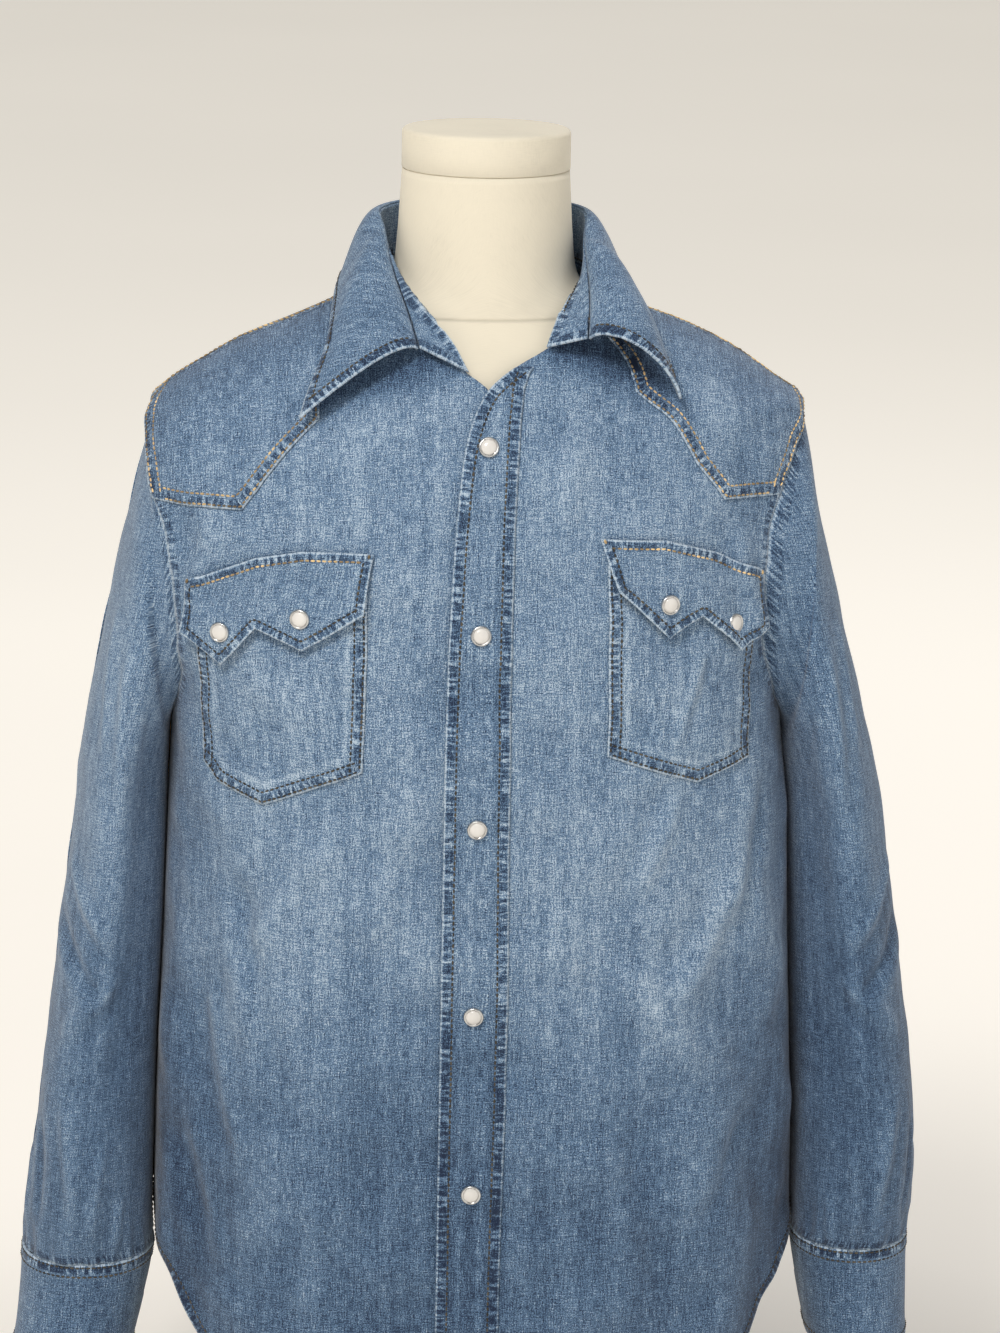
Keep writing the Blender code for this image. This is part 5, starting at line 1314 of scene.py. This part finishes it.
def makeForm():
    turns = np.linspace(0, 360, 161)
    rings = [ovalRing(*row[1:], turns, row[0]) for row in form["torso"]]
    for height in form["contact"]:
        point, normal = bodySurface(turns, np.full(len(turns), height))
        inset = form["insetFace"] + (form["insetSide"] - form["insetFace"]) * np.sin(np.radians(turns)) ** 2
        rings.append(point - normal * inset[:, None])
    rings += [ovalRing(*row[1:], turns, row[0]) for row in form["neck"]]
    rings = np.array(rings)
    knots = np.concatenate(([0], np.cumsum(np.linalg.norm(np.diff(rings.mean(axis=1), axis=0), axis=1)
                                           + np.linalg.norm(np.diff(rings, axis=0), axis=2).mean(axis=1))))
    seamAt = np.interp(form["seamHeight"], rings[:, :, 2].mean(axis=1), knots)
    at = np.sort(np.concatenate((np.linspace(0, knots[-1], 190), seamAt + np.linspace(-0.006, 0.006, 15))))
    rows = []
    for place in at:
        i = int(np.clip(np.searchsorted(knots, place) - 1, 0, len(knots) - 2))
        share = (place - knots[i]) / (knots[i + 1] - knots[i])
        rows.append(rings[i] * (1 - share) + rings[i + 1] * share)
    points = np.array(rows)
    for _ in range(2):
        inner = (points[:-2] + 2 * points[1:-1] + points[2:]) / 4
        points[1:-1] = inner
    out = points - points.mean(axis=1, keepdims=True)
    normals = trueNormals(points, unit(out))
    seam = np.exp(-((points[..., 2] - form["seamHeight"]) / 0.0009) ** 2)
    points = points - normals * (seam * 0.0005)[..., None]
    torso = clothPiece("formTorso", points, normals, {"wash": seam}, [linen], closed=True)
    closeEnds(torso)
    r, low, high, c = form["capRadius"], form["capLow"], form["capHigh"], form["capRounding"]
    profile = [(0.001, low), (r - 0.0008, low), (r, low + 0.0008), (r, (low + high) / 2)]
    profile += [(r - c + c * math.cos(a), high - c + c * math.sin(a)) for a in np.linspace(0, math.pi / 2, 6)]
    profile += [(r * 0.6, high + 0.0002), (0.001, high + 0.0003)]
    angles = np.linspace(0, 2 * math.pi, 97)
    cap = np.array([[(radius * math.cos(a), radius * math.sin(a), z) for a in angles] for radius, z in profile])
    guide = unit(cap - np.array((0, 0, (low + high) / 2)))
    top = clothPiece("formCap", cap, trueNormals(cap, guide), {"wash": 0 * cap[..., 0]}, [linen], closed=True)
    closeEnds(top)
    for piece, node in ((torso, "form_torso"), (top, "form_cap")):
        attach(piece, "root")
        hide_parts(node)
    for node in ("form_post", "form_base"):
        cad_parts[node].data.materials.clear()
        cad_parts[node].data.materials.append(steel)


makeForm()
print("stage: form")

# Pearl snaps: the cap turned from its profile, with a metal rim.
snap = {
    "front": ((-0.0014, 0.7430), (-0.0056, 0.6355), (-0.0063, 0.5190), (-0.0066, 0.4025), (-0.0066, 0.2885),
              (-0.0070, 0.1760)),
    "pocket": {"right_outer": (-0.1561, 0.6310), "right_inner": (-0.1104, 0.6434), "left_inner": (0.1054, 0.6519),
               "left_outer": (0.1455, 0.6356)},
    "steps": 36, "frontSeat": 0.0018, "pocketSeat": 0.0042, "cuffSeat": 0.0014,
    "rim": ((0.0046, 0.0015), (0.0049, 0.0020), (0.0054, 0.0021), (0.0059, 0.0017), (0.0062, 0.0009), (0.0059, 0.0)),
    "pearl": ((0.00002, 0.0029), (0.0018, 0.00282), (0.0034, 0.00245), (0.0043, 0.0019), (0.0047, 0.0013)),
}


def makeSnap(name, node, place, facing):
    turn = Vector(facing).normalized().to_track_quat("Z", "Y").to_matrix().to_4x4()
    bm = bmesh.new()
    for index, part in enumerate(("pearl", "rim")):
        made = [bm.verts.new((r, 0.0, z)) for r, z in snap[part]]
        edges = [bm.edges.new(pair) for pair in zip(made, made[1:])]
        before = set(bm.faces)
        bmesh.ops.spin(bm, geom=made + edges, axis=(0, 0, 1), cent=(0, 0, 0), angle=2 * math.pi,
                       steps=snap["steps"], use_merge=True)
        for face in bm.faces:
            if face not in before:
                face.material_index = index
    bmesh.ops.remove_doubles(bm, verts=bm.verts, dist=4e-5)
    bmesh.ops.recalc_face_normals(bm, faces=bm.faces)
    top = max(bm.faces, key=lambda f: f.calc_center_median().z)
    if top.normal.z < 0:
        bmesh.ops.reverse_faces(bm, faces=bm.faces)
    bmesh.ops.transform(bm, verts=bm.verts, matrix=Matrix.Translation(Vector(place)) @ turn)
    mesh = bpy.data.meshes.new(name)
    bm.to_mesh(mesh)
    bm.free()
    mesh.shade_smooth()
    mesh.materials.append(pearl)
    mesh.materials.append(rimMetal)
    piece = bpy.data.objects.new(name, mesh)
    bpy.context.scene.collection.objects.link(piece)
    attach(piece, "root")
    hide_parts(node)


def makeSnaps():
    for i, (x, z) in enumerate(snap["front"]):
        point, normal = bodySurface(turnOfAside(np.array(x), np.array(z)), np.array(z))
        makeSnap("snapFront%d" % (i + 1), "snap_front_%d" % (i + 1), point + normal * snap["frontSeat"], normal)
    for key, (x, z) in snap["pocket"].items():
        point, normal = bodySurface(turnOfAside(np.array(x), np.array(z)), np.array(z))
        name = "snapPocket" + key.title().replace("_", "")
        makeSnap(name, "snap_pocket_" + key, point + normal * snap["pocketSeat"], normal)
    for side in ("left", "right"):
        low, high = (np.array(corner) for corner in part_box("snap_cuff_" + side))
        middle = (low + high) / 2
        table = sleeve["cuff" + side]
        sign = 1 if side == "left" else -1
        centre = np.array((sign * (table[1, 0] + table[1, 2]) / 2, table[1, 6], middle[2]))
        facing = unit(middle - centre)
        makeSnap("snapCuff" + side.capitalize(), "snap_cuff_" + side, middle - facing * snap["cuffSeat"], facing)


makeSnaps()

thread = {"length": 0.0028, "pitch": 0.0034, "radius": 0.00068, "sides": 5}


def makeStitches():
    rng = np.random.default_rng(4)
    for kind, material in (("gold", goldThread), ("olive", oliveThread)):
        whole = bmesh.new()
        for path, facing, size in stitchRuns[kind]:
            run = np.concatenate(([0], np.cumsum(np.linalg.norm(np.diff(path, axis=0), axis=1))))
            marks = np.arange(thread["pitch"] / 2, run[-1], thread["pitch"])
            if not len(marks):
                continue
            at = lambda line, place: np.stack([np.interp(place, run, line[:, i]) for i in range(3)], -1)
            here, normal = at(path, marks), unit(at(facing, marks))
            along = unit(at(path, marks + 0.001) - at(path, marks - 0.001))
            part = bmesh.new()
            for p, n, a in zip(here, normal, along):
                b = unit(np.cross(n, a))
                n = np.cross(a, b)
                wide = thread["radius"] * size * rng.uniform(0.85, 1.15)
                long = thread["length"] / 2 * rng.uniform(0.88, 1.05)
                a = unit(a + b * rng.normal(0, 0.05))
                matrix = Matrix([[*(b * wide), 0], [*(n * wide), 0], [*(a * long), 0], [0, 0, 0, 1]]).transposed()
                matrix.translation = Vector(p)
                bmesh.ops.create_uvsphere(part, u_segments=thread["sides"], v_segments=4, radius=1.0, matrix=matrix)
            mesh = bpy.data.meshes.new("stitches")
            part.to_mesh(mesh)
            part.free()
            whole.from_mesh(mesh)
            bpy.data.meshes.remove(mesh)
        bmesh.ops.recalc_face_normals(whole, faces=whole.faces)
        mesh = bpy.data.meshes.new(kind + "Stitches")
        whole.to_mesh(mesh)
        print("  %s stitches, %d triangles" % (kind, len(whole.faces)))
        whole.free()
        mesh.shade_smooth()
        mesh.materials.append(material)
        piece = bpy.data.objects.new(kind + "Stitches", mesh)
        bpy.context.scene.collection.objects.link(piece)
        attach(piece, "root")


makeStitches()
print("stage: snaps and stitching")

# Pale studio: a wide floor under a pale surround, a soft key from the upper left and a weak fill.
studio = {
    "floor": (243, 238, 230), "floorReach": 30.0,
    # distance from the form, colour of the painted glow the floor gives off, dark near the form and bright further
    # away
    "glow": ((0.25, (0, 0, 0)), (0.62, (146, 142, 136)), (2.4, (173, 169, 161)), (6.0, (170, 166, 158)),
             (14.0, (158, 154, 146)), (30.0, (154, 150, 144))),
    # rise above the horizon, colour of the surround
    "surround": ((0.0, (215, 210, 202)), (0.25, (178, 176, 172)), (0.6, (158, 157, 155)), (1.0, (158, 157, 155))),
    "target": (0.010, -0.06, 0.600), "distance": 2.42, "azimuth": -3.5, "elevation": 14.5, "roll": 1.0,
    "lens": 108.03,
    # place, what it is aimed at, size, power, colour
    "lamps": {
        "key": ((-1.0, -1.95, 3.1), (0.0, 0.0, 0.6), 0.8, 66.0, (255, 252, 248)),
        "fill": ((2.4, -2.6, 1.5), (0.0, 0.0, 0.6), 2.4, 11.0, (248, 250, 255)),
        "back": ((1.4, 2.3, 3.2), (0.0, 0.0, 0.6), 1.6, 26.0, (252, 252, 255)),
    },
}


def makeStudio():
    turns = np.radians(np.linspace(0, 360, 73))
    reach = np.concatenate(([0.0], np.geomspace(0.2, studio["floorReach"], 40)))[:, None]
    points = np.stack((reach * np.sin(turns), reach * np.cos(turns), 0 * reach * turns - 0.0005), -1)
    normals = np.broadcast_to(np.array((0.0, 0.0, 1.0)), points.shape)
    material, tree, shader = newMaterial("paleGlowingFloor", 0.9)
    place = addNode(tree, "ShaderNodeTexCoord").outputs["Object"]
    base = studio["floor"]
    stops = ((0.3, tuple(c * 0.985 for c in base)), (0.7, base))
    tree.links.new(rampOf(tree, noiseOf(tree, place, 0.8, 2.0), stops), shader.inputs["Base Color"])
    # painted glow: the floor emits light of its own, none near the form and more further away
    away = addNode(tree, "ShaderNodeVectorMath", {0: place}, operation="LENGTH").outputs["Value"]
    stops = tuple((distance / studio["floorReach"], colour) for distance, colour in studio["glow"])
    glow = rampOf(tree, sums(tree, "DIVIDE", away, studio["floorReach"]), stops)
    tree.links.new(glow, shader.inputs["Emission Color"])
    shader.inputs["Emission Strength"].default_value = 1.0
    clothPiece("floor", points, normals, {}, [material])
    world = bpy.data.worlds.new("studioWorld")
    world.use_nodes = True
    tree = world.node_tree
    facing = addNode(tree, "ShaderNodeTexCoord").outputs["Generated"]
    rise = addNode(tree, "ShaderNodeSeparateXYZ", {"Vector": facing})
    tree.links.new(rampOf(tree, rise.outputs["Z"], studio["surround"]), tree.nodes["Background"].inputs["Color"])
    scene = bpy.context.scene
    scene.world = world
    scene.view_settings.view_transform = "Standard"
    target = Vector(studio["target"])
    for name, (place, aim, size, power, colour) in studio["lamps"].items():
        light = bpy.data.lights.new(name, "AREA")
        light.size, light.energy, light.color = size, power, linear(colour)[:3]
        lamp = bpy.data.objects.new(name, light)
        lamp.location = place
        lamp.rotation_euler = (Vector(aim) - Vector(place)).to_track_quat("-Z", "Y").to_euler()
        scene.collection.objects.link(lamp)
    azimuth, elevation, roll = (math.radians(studio[k]) for k in ("azimuth", "elevation", "roll"))
    away = Vector((math.sin(azimuth) * math.cos(elevation), -math.cos(azimuth) * math.cos(elevation),
                   math.sin(elevation)))
    right = (-away).cross(Vector((0, 0, 1))).normalized()
    up = right.cross(-away)
    side = right * math.cos(roll) + up * math.sin(roll)
    top = up * math.cos(roll) - right * math.sin(roll)
    data = bpy.data.cameras.new("camera")
    data.lens = studio["lens"]
    camera = bpy.data.objects.new("camera", data)
    pose = Matrix((side, top, away)).transposed().to_4x4()
    pose.translation = target + away * studio["distance"]
    camera.matrix_world = pose
    scene.collection.objects.link(camera)
    scene.camera = camera


makeStudio()
print("stage: studio")
